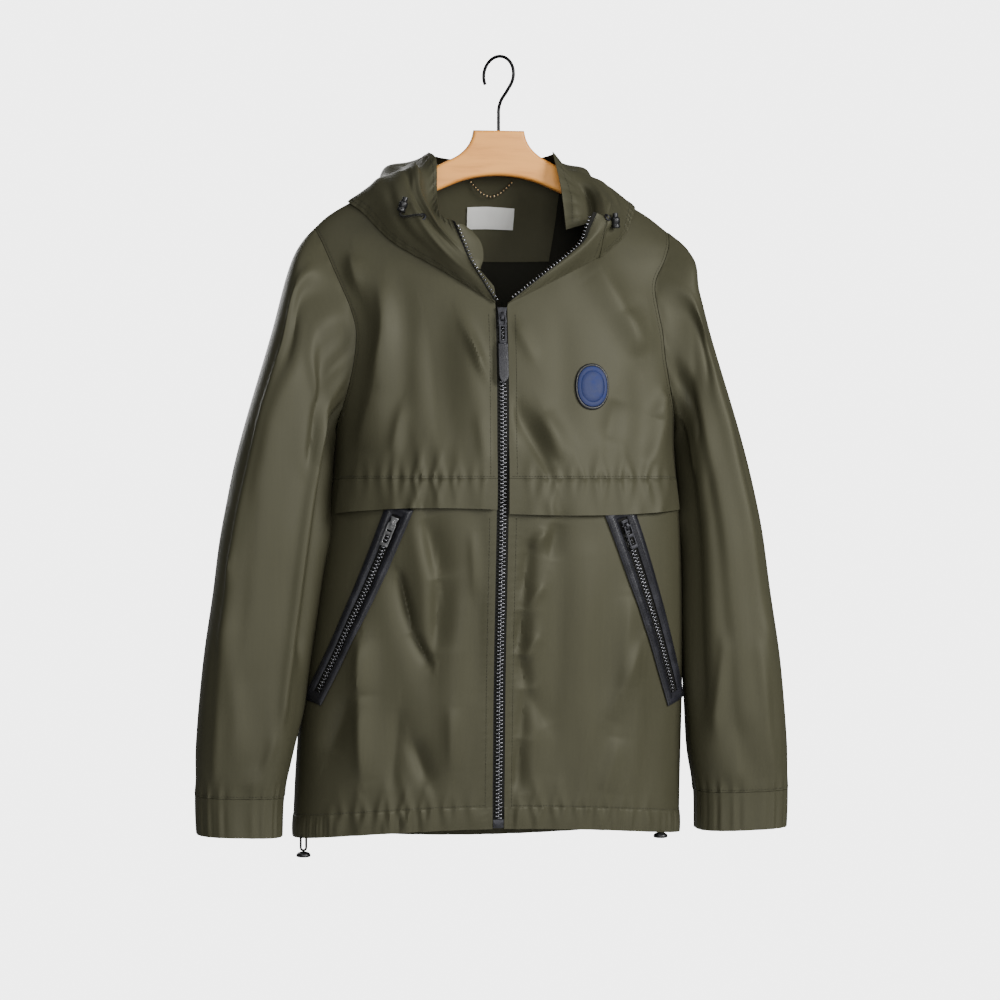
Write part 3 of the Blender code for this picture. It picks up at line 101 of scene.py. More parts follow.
# Armhole: down, across
ARMHOLE = np.array((
    (0.193, 0.198), (0.215, 0.189), (0.250, 0.177), (0.290, 0.171),
    (0.330, 0.172), (0.370, 0.179), (0.400, 0.187), (0.415, 0.191),
))
# Back neckline: across, down
BACK_NECKLINE = np.array((
    (0.000, 0.129), (0.040, 0.133), (0.070, 0.141), (0.095, 0.149), (0.110, 0.150), (0.115, 0.1412),
))
NECK_SIDE = 0.115
FRONT_NECK = 0.262
YOKE_SEAM = 0.472
FLAP_EDGE = 0.508
HEM_HEIGHT = 0.024
FRONT_HEM = 0.853
SIDE_HEM = 0.867
BACK_HEM = 0.882
FLAP_STAND = 0.0040
FLAP_END_ANGLE = 74.0
ZIP_HALF = 0.0065
TEETH_HALF = 0.0042
ZIP_TOP = 0.283
ZIP_BOTTOM = 0.842
ARM_ROWS = 10
YOKE_ROWS = 12
BACK_ROWS = 17
BACK_EXTRA_ROW = 0.35

# Folds, creases and gathers of the body: their shares, and the distances over which folds and creases fade: at the
# sides, from and below the shoulder line, from and beside the zip, and at the arms
ZIP_CLEAR = 0.004
FOLD_SHARE = 0.8
CREASE_REACH = 1.45
CREASE_GAIN = 3.1
CREASE_POWER = 1.6
YOKE_GATHER_SHARE = 1.9
HEM_GATHER_SHARE = 1.5
FOLD_FADE = (0.030, 0.02, 0.05, 0.0, 0.018, 0.025)
CREASE_FADE = (0.024, 0.006, 0.03, 0.004, 0.010, 0.012)
# Large folds of the body: x and down at one end, x and down at the other, width, height
FRONT_FOLDS = (
    (-0.140, 0.250, -0.146, 0.455, 0.017, 0.0050),
    (-0.112, 0.255, -0.118, 0.440, 0.014, -0.0040),
    (-0.050, 0.300, -0.028, 0.400, 0.013, 0.0035),
    (-0.075, 0.285, -0.060, 0.440, 0.015, -0.0035),
    (-0.104, 0.500, -0.074, 0.655, 0.016, 0.0055),
    (-0.128, 0.570, -0.084, 0.690, 0.015, -0.0045),
    (-0.160, 0.620, -0.156, 0.815, 0.016, 0.0050),
    (-0.050, 0.620, -0.058, 0.810, 0.017, 0.0045),
    (-0.028, 0.510, -0.030, 0.700, 0.013, -0.0035),
    (0.100, 0.250, 0.150, 0.330, 0.014, 0.0045),
    (0.140, 0.320, 0.148, 0.450, 0.016, -0.0040),
    (0.022, 0.380, 0.066, 0.445, 0.013, 0.0040),
    (0.060, 0.290, 0.064, 0.400, 0.015, -0.0030),
    (0.034, 0.500, 0.032, 0.810, 0.013, 0.0050),
    (0.060, 0.520, 0.058, 0.790, 0.012, -0.0040),
    (0.085, 0.560, 0.098, 0.815, 0.016, 0.0045),
    (0.150, 0.690, 0.146, 0.820, 0.015, 0.0045),
)
BACK_FOLDS = (
    (-0.120, 0.300, -0.130, 0.800, 0.022, 0.0055),
    (-0.070, 0.420, -0.075, 0.840, 0.020, -0.0050),
    (-0.010, 0.480, -0.005, 0.840, 0.024, 0.0050),
    (0.055, 0.430, 0.070, 0.840, 0.020, -0.0050),
    (0.110, 0.320, 0.125, 0.800, 0.022, 0.0055),
)

# Creases of the cloth itself: x and down at each end, width, how much wider one side is, height
FRONT_CREASES = (
    (-0.130, 0.255, -0.152, 0.375, 0.0055, 1.8, 0.0024),
    (-0.152, 0.375, -0.166, 0.440, 0.0060, 1.8, 0.0019),
    (-0.119, 0.390, -0.130, 0.445, 0.0045, 1.5, 0.0015),
    (-0.051, 0.293, -0.018, 0.366, 0.0040, 2.0, 0.0016),
    (-0.041, 0.315, -0.024, 0.358, 0.0032, 1.5, 0.0011),
    (-0.160, 0.225, -0.158, 0.262, 0.0050, 1.5, 0.0019),
    (-0.090, 0.300, -0.078, 0.430, 0.0100, 1.3, -0.0016),
    (-0.030, 0.400, -0.022, 0.455, 0.0050, 1.4, 0.0011),
    (0.104, 0.222, 0.130, 0.285, 0.0090, 1.6, 0.0023),
    (0.130, 0.285, 0.142, 0.335, 0.0080, 1.6, 0.0017),
    (0.010, 0.384, 0.048, 0.467, 0.0060, 1.7, -0.0028),
    (0.038, 0.400, 0.060, 0.455, 0.0055, 1.6, 0.0021),
    (0.174, 0.372, 0.160, 0.405, 0.0045, 1.4, 0.0018),
    (0.174, 0.389, 0.154, 0.458, 0.0070, 1.8, 0.0025),
    (0.118, 0.385, 0.108, 0.430, 0.0080, 1.4, -0.0014),
    (0.014, 0.300, 0.032, 0.345, 0.0045, 1.4, 0.0012),
    (-0.092, 0.515, -0.075, 0.580, 0.0055, 2.2, -0.0036),
    (-0.075, 0.580, -0.073, 0.660, 0.0055, 2.2, -0.0036),
    (-0.120, 0.575, -0.101, 0.637, 0.0052, 0.6, -0.0030),
    (-0.101, 0.637, -0.078, 0.676, 0.0052, 0.6, -0.0030),
    (-0.157, 0.645, -0.156, 0.707, 0.0048, 1.8, 0.0028),
    (-0.156, 0.707, -0.148, 0.800, 0.0050, 1.8, 0.0028),
    (-0.168, 0.710, -0.186, 0.770, 0.0080, 1.4, -0.0026),
    (-0.098, 0.753, -0.077, 0.805, 0.0052, 1.5, -0.0028),
    (-0.055, 0.720, -0.052, 0.790, 0.0050, 1.5, 0.0015),
    (-0.112, 0.720, -0.118, 0.810, 0.0060, 1.5, -0.0017),
    (-0.036, 0.530, -0.030, 0.600, 0.0042, 1.4, 0.0013),
    (0.028, 0.535, 0.023, 0.615, 0.0048, 1.5, -0.0028),
    (0.023, 0.615, 0.021, 0.663, 0.0048, 1.5, -0.0028),
    (0.021, 0.663, 0.028, 0.700, 0.0048, 1.5, -0.0026),
    (0.028, 0.700, 0.023, 0.755, 0.0048, 1.5, -0.0026),
    (0.023, 0.755, 0.021, 0.815, 0.0048, 1.5, -0.0026),
    (0.030, 0.548, 0.046, 0.528, 0.0042, 1.4, 0.0017),
    (0.026, 0.612, 0.042, 0.586, 0.0042, 1.4, 0.0015),
    (0.024, 0.668, 0.038, 0.640, 0.0042, 1.4, 0.0014),
    (0.030, 0.700, 0.052, 0.742, 0.0060, 1.4, -0.0015),
    (0.134, 0.600, 0.132, 0.700, 0.0070, 1.5, 0.0019),
    (0.150, 0.650, 0.118, 0.735, 0.0062, 1.6, 0.0019),
    (0.128, 0.755, 0.118, 0.815, 0.0060, 1.5, 0.0017),
    (0.056, 0.520, 0.050, 0.560, 0.0050, 1.4, -0.0017),
)
BACK_CREASES = (
    (-0.150, 0.240, -0.128, 0.360, 0.0070, 1.6, 0.0022),
    (0.152, 0.236, 0.134, 0.340, 0.0065, 1.7, 0.0021),
    (-0.060, 0.250, -0.052, 0.420, 0.0080, 1.4, -0.0016),
    (0.036, 0.270, 0.028, 0.400, 0.0070, 1.5, 0.0015),
    (-0.165, 0.430, -0.112, 0.505, 0.0065, 1.8, 0.0024),
    (0.168, 0.440, 0.108, 0.520, 0.0060, 1.8, 0.0024),
    (-0.096, 0.560, -0.104, 0.760, 0.0065, 1.6, 0.0020),
    (-0.034, 0.600, -0.040, 0.815, 0.0060, 1.5, -0.0022),
    (0.030, 0.560, 0.024, 0.790, 0.0062, 1.5, 0.0019),
    (0.094, 0.610, 0.100, 0.815, 0.0060, 1.6, -0.0022),
    (0.150, 0.600, 0.156, 0.780, 0.0070, 1.5, 0.0020),
    (-0.152, 0.640, -0.160, 0.800, 0.0066, 1.6, -0.0020),
)
# Gathers that run up from a sewn line: x, lean, width, height, reach
YOKE_GATHERS = (
    (-0.168, 0.10, 0.0052, 0.0009, 0.016), (-0.154, -0.10, 0.0042, 0.0010, 0.014),
    (-0.141, 0.15, 0.0048, 0.0012, 0.020), (-0.128, 0.10, 0.0038, 0.0017, 0.030),
    (-0.114, -0.20, 0.0042, 0.0015, 0.018), (-0.104, 0.25, 0.0034, 0.0018, 0.022),
    (-0.094, -0.20, 0.0036, 0.0019, 0.026), (-0.083, 0.30, 0.0034, 0.0019, 0.020),
    (-0.071, -0.25, 0.0040, 0.0018, 0.028), (-0.060, 0.20, 0.0034, 0.0015, 0.016),
    (-0.050, -0.20, 0.0036, 0.0013, 0.018), (-0.037, 0.15, 0.0044, 0.0011, 0.014),
    (-0.023, -0.10, 0.0036, 0.0010, 0.016), (0.025, 0.15, 0.0038, 0.0012, 0.018),
    (0.041, -0.30, 0.0044, 0.0018, 0.026), (0.055, -0.35, 0.0042, 0.0018, 0.024),
    (0.067, 0.15, 0.0038, 0.0014, 0.016), (0.080, -0.25, 0.0036, 0.0016, 0.018),
    (0.092, 0.20, 0.0040, 0.0016, 0.022), (0.104, -0.15, 0.0034, 0.0015, 0.014),
    (0.117, 0.20, 0.0038, 0.0017, 0.020), (0.131, -0.20, 0.0042, 0.0015, 0.018),
    (0.145, 0.30, 0.0038, 0.0017, 0.022), (0.158, 0.20, 0.0040, 0.0014, 0.016),
    (0.172, -0.10, 0.0046, 0.0010, 0.016),
)
# Folds of the flaps, strongest at their lower edge
FLAP_FOLDS = (
    (-0.176, 0.0, 0.0080, 0.0012, 0.05), (-0.148, 0.1, 0.0110, -0.0012, 0.05), (-0.128, -0.1, 0.0070, 0.0013, 0.05),
    (-0.106, 0.2, 0.0050, 0.0030, 0.05), (-0.097, 0.1, 0.0055, -0.0020, 0.04), (-0.074, -0.1, 0.0100, 0.0011, 0.04),
    (-0.047, 0.1, 0.0080, -0.0009, 0.04), (-0.025, 0.0, 0.0070, 0.0010, 0.04), (0.026, 0.1, 0.0070, 0.0010, 0.04),
    (0.049, -0.3, 0.0050, 0.0024, 0.05), (0.060, -0.2, 0.0060, -0.0014, 0.05), (0.088, 0.1, 0.0110, 0.0011, 0.04),
    (0.115, -0.1, 0.0080, -0.0010, 0.04), (0.137, 0.1, 0.0070, 0.0012, 0.04), (0.161, 0.2, 0.0055, 0.0022, 0.05),
    (0.176, 0.0, 0.0080, -0.0012, 0.05),
)
HEM_GATHERS = (
    (-0.182, 0.20, 0.0050, 0.0012, 0.012), (-0.168, -0.20, 0.0042, 0.0014, 0.016),
    (-0.155, 0.15, 0.0040, 0.0018, 0.024), (-0.143, -0.30, 0.0042, 0.0018, 0.018),
    (-0.130, 0.20, 0.0038, 0.0020, 0.022), (-0.118, -0.10, 0.0036, 0.0020, 0.026),
    (-0.107, 0.35, 0.0034, 0.0019, 0.018), (-0.096, -0.30, 0.0038, 0.0021, 0.030),
    (-0.085, 0.20, 0.0034, 0.0018, 0.016), (-0.073, -0.25, 0.0038, 0.0020, 0.024),
    (-0.060, 0.20, 0.0042, 0.0016, 0.018), (-0.046, -0.15, 0.0038, 0.0014, 0.014),
    (-0.031, 0.15, 0.0044, 0.0013, 0.016), (0.024, -0.20, 0.0042, 0.0019, 0.022),
    (0.037, 0.25, 0.0036, 0.0019, 0.018), (0.048, -0.30, 0.0038, 0.0021, 0.024),
    (0.060, 0.20, 0.0034, 0.0019, 0.016), (0.072, -0.20, 0.0040, 0.0020, 0.020),
    (0.085, 0.25, 0.0038, 0.0018, 0.016), (0.097, -0.15, 0.0036, 0.0017, 0.014),
    (0.110, 0.20, 0.0042, 0.0018, 0.022), (0.123, -0.25, 0.0038, 0.0017, 0.018),
    (0.136, 0.20, 0.0042, 0.0016, 0.020), (0.151, -0.10, 0.0044, 0.0014, 0.014),
    (0.166, 0.20, 0.0046, 0.0012, 0.014),
)

# Sleeve rings: outer edge x and down, under edge x and down, middle y, half depth
SLEEVE = np.array((
    (0.2225, 0.226, 0.1955, 0.432, 0.000, 0.052),
    (0.2460, 0.310, 0.1980, 0.460, -0.003, 0.060),
    (0.2785, 0.422, 0.2015, 0.505, -0.008, 0.064),
    (0.2990, 0.512, 0.2055, 0.555, -0.013, 0.064),
    (0.3115, 0.598, 0.2100, 0.618, -0.016, 0.062),
    (0.3225, 0.676, 0.2155, 0.687, -0.019, 0.060),
    (0.3295, 0.760, 0.2215, 0.765, -0.022, 0.056),
    (0.3305, 0.818, 0.2310, 0.820, -0.024, 0.047),
    (0.3290, 0.860, 0.2325, 0.863, -0.025, 0.045),
))
SLEEVE_SQUARENESS = 2.8
SLEEVE_SEAM_GAP = 0.0006
CUFF_SEAM = 8.0
CUFF_END = 9.0
# Folds of a sleeve: angle and ring at one end, angle and ring at the other, width in degrees, height
SLEEVE_FOLDS = (
    (95.0, 0.9, 60.0, 2.6, 16.0, 0.0050),
    (70.0, 2.2, 55.0, 5.4, 14.0, 0.0045),
    (105.0, 3.0, 95.0, 7.2, 15.0, -0.0045),
    (60.0, 5.6, 100.0, 7.6, 14.0, 0.0040),
    (290.0, 1.5, 300.0, 5.0, 18.0, 0.0050),
    (260.0, 4.0, 275.0, 7.4, 16.0, -0.0045),
)
SLEEVE_CREASES = {
    "right": (
        (52.0, 0.7, 50.0, 4.6, 6.0, 0.0030), (50.0, 4.6, 58.0, 7.4, 7.0, 0.0020),
        (116.0, 0.4, 121.0, 6.4, 7.0, 0.0046), (178.0, 0.3, 174.0, 3.6, 16.0, 0.0052),
        (174.0, 3.6, 173.0, 6.3, 16.0, 0.0065),
        (104.0, 0.3, 96.0, 1.6, 6.0, 0.0040), (68.0, 0.4, 62.0, 1.9, 9.0, -0.0050),
        (92.0, 0.5, 106.0, 2.4, 7.0, -0.0046),
        (84.0, 0.3, 88.0, 1.5, 5.0, 0.0030), (143.0, 0.3, 145.0, 5.4, 12.0, -0.0090),
        (132.0, 0.3, 126.0, 1.2, 5.0, 0.0026), (84.0, 6.2, 100.0, 7.5, 8.0, -0.0024),
        (66.0, 3.8, 74.0, 6.6, 9.0, -0.0016), (110.0, 7.0, 96.0, 7.7, 6.0, 0.0020),
        (240.0, 0.5, 230.0, 3.4, 9.0, 0.0030), (300.0, 2.6, 316.0, 6.8, 9.0, -0.0026),
    ),
    "left": (
        (100.0, 0.6, 92.0, 6.6, 8.0, 0.0034), (150.0, 0.8, 147.0, 6.2, 17.0, -0.0065),
        (180.0, 0.4, 178.0, 3.0, 14.0, 0.0045), (176.0, 3.4, 174.0, 6.0, 15.0, 0.0050),
        (107.0, 5.7, 122.0, 6.6, 7.0, 0.0028), (62.0, 0.4, 66.0, 1.5, 6.0, 0.0026),
        (48.0, 2.0, 56.0, 5.6, 9.0, -0.0018), (78.0, 5.8, 68.0, 7.4, 7.0, 0.0022),
        (144.0, 0.4, 138.0, 2.2, 7.0, 0.0028), (80.0, 0.4, 76.0, 1.8, 8.0, -0.0046),
        (112.0, 0.5, 108.0, 1.9, 7.0, -0.0042), (96.0, 6.8, 88.0, 7.7, 6.0, -0.0020),
        (236.0, 0.6, 244.0, 3.0, 9.0, 0.0028), (286.0, 3.4, 300.0, 7.0, 9.0, 0.0026),
        (310.0, 1.2, 322.0, 4.2, 8.0, -0.0024),
    ),
}

# Hood sections, right front, right back, middle, left front: seam x and down, crest x, y and down, edge x, y and
# down, puff back and down, tuck down and back, and where the tuck lies
HOOD_RIGHT_FRONT = (
    (-0.0066, 0.281, -0.0375, -0.088, 0.232, -0.0545, -0.080, 0.190, 0.000, 0.000, 0.000, 0.0, 0.5),
    (-0.0600, 0.247, -0.0680, -0.081, 0.200, -0.0665, -0.066, 0.181, -0.008, 0.000, 0.000, 0.0, 0.5),
    (-0.1150, 0.213, -0.0880, -0.056, 0.160, -0.0655, -0.036, 0.155, -0.014, 0.000, 0.010, 0.0, 0.5),
    (-0.1456, 0.179, -0.0900, -0.028, 0.127, -0.0640, -0.017, 0.117, -0.012, -0.004, 0.008, 0.0, 0.5),
)
HOOD_RIGHT_BACK = (
    (-0.1600, 0.165, -0.1000, 0.004, 0.1255, -0.0700, 0.006, 0.106, 0.000, -0.002, 0.005, 0.0, 0.5),
    (-0.1350, 0.166, -0.1180, 0.050, 0.1240, -0.0600, 0.034, 0.107, 0.012, 0.025, 0.000, 0.0, 0.5),
    (-0.0800, 0.157, -0.1050, 0.118, 0.1850, -0.0350, 0.055, 0.108, 0.020, 0.100, 0.000, 0.0, 0.5),
)
HOOD_MIDDLE = (0.0, 0.148, 0.0, 0.142, 0.235, 0.0, 0.066, 0.109, 0.015, 0.155, 0.000, 0.0, 0.5)
HOOD_LEFT_FRONT = (
    (0.1560, 0.180, 0.1080, -0.012, 0.132, 0.0680, -0.012, 0.108, -0.008, -0.002, 0.008, 0.0, 0.5),
    (0.1417, 0.204, 0.1182, -0.042, 0.156, 0.0734, -0.034, 0.148, -0.010, 0.000, 0.006, 0.008, 0.4),
    (0.1110, 0.230, 0.1188, -0.064, 0.183, 0.0765, -0.050, 0.196, -0.006, 0.000, 0.000, 0.004, 0.5),
)
HOOD_STOPS = np.array((0.0, 0.34, 0.66, 0.84, 1.0))
HOOD_LIFT = 0.0028
HOOD_SEAM_RIGHT = 6
HOOD_SEAM_LEFT = 8
HOOD_LAST = 13
HOOD_BACK_FIRST = 4.4
HOOD_BACK_LAST = 9.6
# Left front of the collar, along the zip from its foot: x, y, down
COLLAR_EDGE = np.array((
    (0.0066, -0.0860, 0.2810), (0.0494, -0.0830, 0.2470), (0.0911, -0.0770, 0.2120),
    (0.1000, -0.0725, 0.1955), (0.1080, -0.0680, 0.1790),
))
COLLAR_TOP = 0.66
COLLAR_PUFF = 0.004
COLLAR_GAP = 0.0014
ZIP_END_WIDTH = 0.0075
CHIN_GUARD_WIDTH = 0.024
# Creases of the hood: u and v at each end, width in sections, height
HOOD_CREASES = (
    (0.8, 0.30, 2.6, 0.62, 0.20, 0.0022), (1.4, 0.16, 3.2, 0.34, 0.22, -0.0020),
    (2.4, 0.70, 3.6, 0.48, 0.18, 0.0024), (3.4, 0.24, 4.4, 0.56, 0.22, 0.0024),
    (4.8, 0.30, 5.4, 0.70, 0.24, -0.0030), (5.6, 0.46, 6.0, 0.72, 0.20, 0.0026),
    (6.5, 0.20, 6.7, 0.64, 0.18, 0.0026), (7.3, 0.24, 7.2, 0.60, 0.18, -0.0024),
    (8.3, 0.40, 8.6, 0.74, 0.22, 0.0028), (9.2, 0.26, 9.9, 0.60, 0.24, -0.0026),
    (10.4, 0.50, 11.2, 0.24, 0.20, 0.0022), (11.4, 0.40, 12.4, 0.58, 0.18, 0.0022),
    (12.0, 0.20, 12.8, 0.36, 0.18, -0.0018), (0.5, 0.68, 4.2, 0.67, 0.13, 0.0036),
    (0.8, 0.56, 4.0, 0.55, 0.16, -0.0028), (11.6, 0.81, 12.95, 0.80, 0.12, -0.0065),
    (11.9, 0.93, 12.8, 0.92, 0.16, 0.0028), (12.2, 0.26, 12.9, 0.60, 0.15, 0.0030),
)

# Pockets: x, down and half width at the top and at the bottom
POCKETS = {
    "right": ((-0.1195, 0.5005, 0.0160), (-0.2035, 0.716, 0.0090)),
    "left": ((0.1185, 0.5035, 0.0160), (0.1990, 0.719, 0.0120)),
}
POCKET_SLOT = 0.0055
POCKET_END_BORDER = 0.012
POCKET_LIFT = 0.0024
POCKET_SLIDER_PLACE = 0.095

# Sliders: width, length, plate, bridge width, length and height, lift. Pulls: width, length, thickness, bar,
# eye length, window top and length
MAIN_SLIDER = (0.0110, 0.022, 0.0026, 0.0030, 0.0100, 0.0036, 0.0040)
POCKET_SLIDER = (0.0085, 0.015, 0.0022, 0.0026, 0.0090, 0.0034, POCKET_LIFT + 0.0030)
MAIN_PULL = (0.0085, 0.030, 0.0013, 0.0015, 0.0085, 0.0115, 0.0150)
POCKET_PULL = (0.0095, 0.026, 0.0013, 0.0015, 0.0085, 0.0130, 0.0090)
TAB_WIDTH = 0.0108
TAB_LENGTH = 0.044
TAB_THICK = 0.0024
BADGE_X = 0.0913
BADGE_DOWN = 0.371
BADGE_HALF_WIDTH = 0.0176
BADGE_HALF_HEIGHT = 0.0255
BADGE_RIM = 0.0030
BADGE_LIFT = 0.0007
LOOP_ENDS = (-0.0228, 0.0267)
LOOP_TOP = 0.1335
LOOP_SAG = 0.0155
LOOP_STAND = 0.0049
# Turned pieces: radius, height
TOGGLE = (
    (0.0012, 0.0000), (0.0042, 0.0000), (0.0047, 0.0004), (0.0048, 0.0012), (0.0048, 0.0030), (0.0043, 0.0036),
    (0.0043, 0.0046), (0.0048, 0.0052), (0.0048, 0.0100), (0.0044, 0.0112), (0.0036, 0.0119), (0.0030, 0.0122),
    (0.0030, 0.0158), (0.0028, 0.0166), (0.0022, 0.0168), (0.0012, 0.0168),
)
HEM_TOGGLE = (
    (0.0016, 0.0000), (0.0058, 0.0000), (0.0072, 0.0004), (0.0079, 0.0013), (0.0080, 0.0022), (0.0074, 0.0038),
    (0.0060, 0.0050), (0.0044, 0.0057), (0.0030, 0.0058), (0.0016, 0.0058),
)
EYELET = (
    (0.0020, 0.0000), (0.0044, 0.0000), (0.0045, 0.0003), (0.0042, 0.0008), (0.0034, 0.0011), (0.0026, 0.0010),
    (0.0021, 0.0006),
)
HEM_TOGGLE_PLACES = {"right": (-0.2130, -0.0346, -0.8868), "left": (0.1820, -0.0540, -0.8697)}
HEM_LOOP_HALF = 0.0030
HEM_LOOP_TOP = 0.8640
# Hood fittings: eyelet u and v, toggle u and v, how far along the toggle points
HOOD_FITTINGS = {"right": (1.62, 0.50, 2.16, 0.34, 0.20), "left": (12.90, 0.61, 12.36, 0.30, 0.22)}

# How far the hood's fittings stand off, and the curve of its cord
EYELET_LIFT = 0.0006
TOGGLE_LIFT = 0.0054
TOGGLE_BACK = 0.002
CORD_START = 0.0024
CORD_BEND = 0.012
# Badge's rim and face: share of the size, height over the foot
BADGE_RIM_ROWS = (
    (0.99, -0.0011), (1.0, -0.0006), (0.99, -0.0001), (0.965, 0.0005), (0.93, 0.0008), (0.895, 0.0006),
    (0.87, 0.0001), (0.6, -0.0001), (0.3, -0.0001), (0.004, -0.0001),
)
BADGE_FACE_ROWS = (
    (1.0, 0.0004), (0.985, 0.0009), (0.95, 0.0012), (0.86, 0.0014), (0.80, 0.0015), (0.755, 0.0009),
    (0.71, 0.0015), (0.5, 0.0016), (0.2, 0.0017), (0.004, 0.0017),
)
# Sewn edges, casings, facing, welts and small metal
STITCH_LIFT = 0.0001
PLACKET_LINE = 0.0145
HEM_STITCH = 0.0018
CASING_THICK = 0.0012
CASING_TUCK = -0.06
CASING_SINK = -0.0010
SLEEVE_GATHERS = 0.0013
CUFF_GATHERS = 0.0008
CUFF_GAP = 0.004
HOOD_SEAM_GAP = 0.003
FACING_LAST_ROW = 2.2
FACING_DEPTH = WALL + 0.0008
LABEL_DEPTH = FACING_DEPTH + 0.0010 + 0.0007
WELT_SINK = 0.0016
WELT_PUFF = 0.0036
LOOP_WIRE = 0.00045
BRIDGE_ROOF = 0.0010
BRIDGE_LEG = 0.0015
BRIDGE_BEVEL = 0.0003
SLIDER_BEVEL = 0.0007
PULL_BEVEL = 0.00035
TAB_BEVEL = 0.0008
MAIN_SLIDER_DOWN = ZIP_TOP + 0.013
MAIN_PULL_AIM = (0.0, 0.370)
# Zips: half the space between the tapes, the tapes, the teeth
TAPE_SLOT = 0.0012
TAPE_THICK = 0.0006
END_TAPE_THICK = 0.0007
TEETH_LIFT = 0.0003
END_TEETH_HALF = 0.0028
POCKET_TEETH_HALF = 0.0036
POCKET_TEETH_DEPTH = 0.0010
POCKET_TAPE_DEPTH = 0.0018
LEATHER_THICK = 0.0010
# Chin guard: the way it runs in and the way it faces, its span up the edge
CHIN_GUARD_INWARD = np.array((0.93, 0.36, 0.0))
CHIN_GUARD_FACING = np.array((0.36, -0.93, 0.0))
CHIN_GUARD_SPAN = (0.52, 0.97)
CHIN_GUARD_THICK = 0.0009
# Label: its span across and down, in rows of the back
LABEL_ACROSS = (-0.85, 1.15)
LABEL_DOWN = (0.80, 1.34)
LABEL_THICK = 0.0006
# Stitches: their distance from a seam, the span of the yoke's rows, and rows on the hood: first and last u, v
YOKE_STITCH = 0.0022
YOKE_STITCH_SPAN = (0.009, 0.186)
PLACKET_TOP = 0.292
ARMHOLE_STITCH = 0.0030
HOOD_STITCH_ROWS = ((0.25, 12.8, 0.945), (0.25, 12.8, 0.035), (0.25, 5.9, 0.075), (8.1, 12.8, 0.075))
HOOD_STITCH = 0.07
COLLAR_STITCHES = (0.07, 0.93)

# Hanger: across, down, from the neck's top round to the middle of the lower edge
HANGER_OUTLINE = (
    (0.0285, 0.0815), (0.0310, 0.0915), (0.0365, 0.1010), (0.0465, 0.1100), (0.0600, 0.1170), (0.0740, 0.1245),
    (0.0900, 0.1400), (0.1070, 0.1505), (0.1300, 0.1615), (0.1500, 0.1708), (0.1700, 0.1828), (0.1775, 0.1900),
    (0.1805, 0.1990), (0.1770, 0.2075), (0.1685, 0.2065), (0.1500, 0.1950), (0.1200, 0.1740), (0.0670, 0.1490),
    (0.0350, 0.1365), (0.0000, 0.1320),
)
HANGER_HALF_THICK = 0.0065
HANGER_ROUND = 0.0040
HOOK_TURN = math.radians(45.0)
HOOK_RADIUS = 0.0209
HOOK_WIRE = 0.0019
HOOK_STEM = ((0.0, 0.0812), (0.0, 0.0660), (0.0004, 0.0560), (0.0040, 0.0470), (0.0105, 0.0395))
HOOK_ANGLES = (-40.0, 205.0)

# Camera of the photograph
CAMERA_YAW = math.radians(-8.0)
CAMERA_DISTANCE = 3.2
CAMERA_LEVEL = -0.495
CAMERA_LENS = 102.85
CAMERA_SHIFT = 0.0015
CAMERA_SENSOR = 36.0
CAMERA_REACH = 60.0
# Lights: place, size, power
LIGHTS = (
    ("key", (2.0, -2.1, 0.6), 1.2, 102.0), ("front", (-0.1, -3.0, 0.0), 1.6, 46.0),
    ("top", (-1.3, -1.2, 1.6), 1.0, 12.0), ("back", (-0.6, 2.8, 0.6), 1.8, 60.0),
)
LIGHT_AIM = (0.0, 0.0, -0.5)
FLOOR_RADIUS = 2.2
FLOOR_LEVEL = -1.62
FLOOR_STEPS = 96

# Meshes: the angles past which an edge stays sharp, the distance at which points are joined, steps round a piece
SHARP = math.radians(40.0)
ROD_SHARP = math.radians(70.0)
TURNED_SHARP = math.radians(55.0)
WELD = 0.000001
ROD_STEPS = 14
ROD_SIDE = (0.30, 0.93, 0.20)
TURNED_STEPS = 40
CORNER_STEPS = 5
# Colour sockets of a mix node
MIX_FIRST, MIX_LAST, MIX_RESULT = 6, 7, 2


def length_property(name, description, default, low, high):
    return FloatProperty(name=name, description=description, default=default, min=low, max=high, unit="LENGTH")


class WindbreakerSizes(bpy.types.PropertyGroup):
    """Sizes of the detail that a user may change."""
    cloth: length_property("Cloth", "Thickness of the nylon with its seams", 0.0005, 0.0002, 0.001)
    stitch: length_property("Stitch", "Length of one stitch", 0.0026, 0.001, 0.006)
    stitch_gap: length_property("Stitch gap", "Gap between two stitches", 0.0009, 0.0002, 0.004)
    thread: length_property("Thread", "Radius of the sewing thread", 0.00022, 0.0001, 0.0005)
    tooth_pitch: length_property("Tooth pitch", "Spacing of the zip's teeth on one side", 0.0041, 0.0015, 0.006)
    cord: length_property("Cord", "Diameter of the drawcords", 0.0026, 0.0015, 0.004)
    bead: length_property("Bead", "Radius of the hang loop's beads", 0.00125, 0.0008, 0.0013)
    beads: IntProperty(name="Beads", description="Number of beads on the hang loop", default=15, min=8, max=40)
    ripple: length_property("Ripple", "Height of the cloth's soft unevenness", 0.00018, 0.0, 0.002)


def colour_property(name, description, default):
    return FloatVectorProperty(name=name, description=description, default=default, size=3, min=0.0, max=1.0,
                               subtype="COLOR")


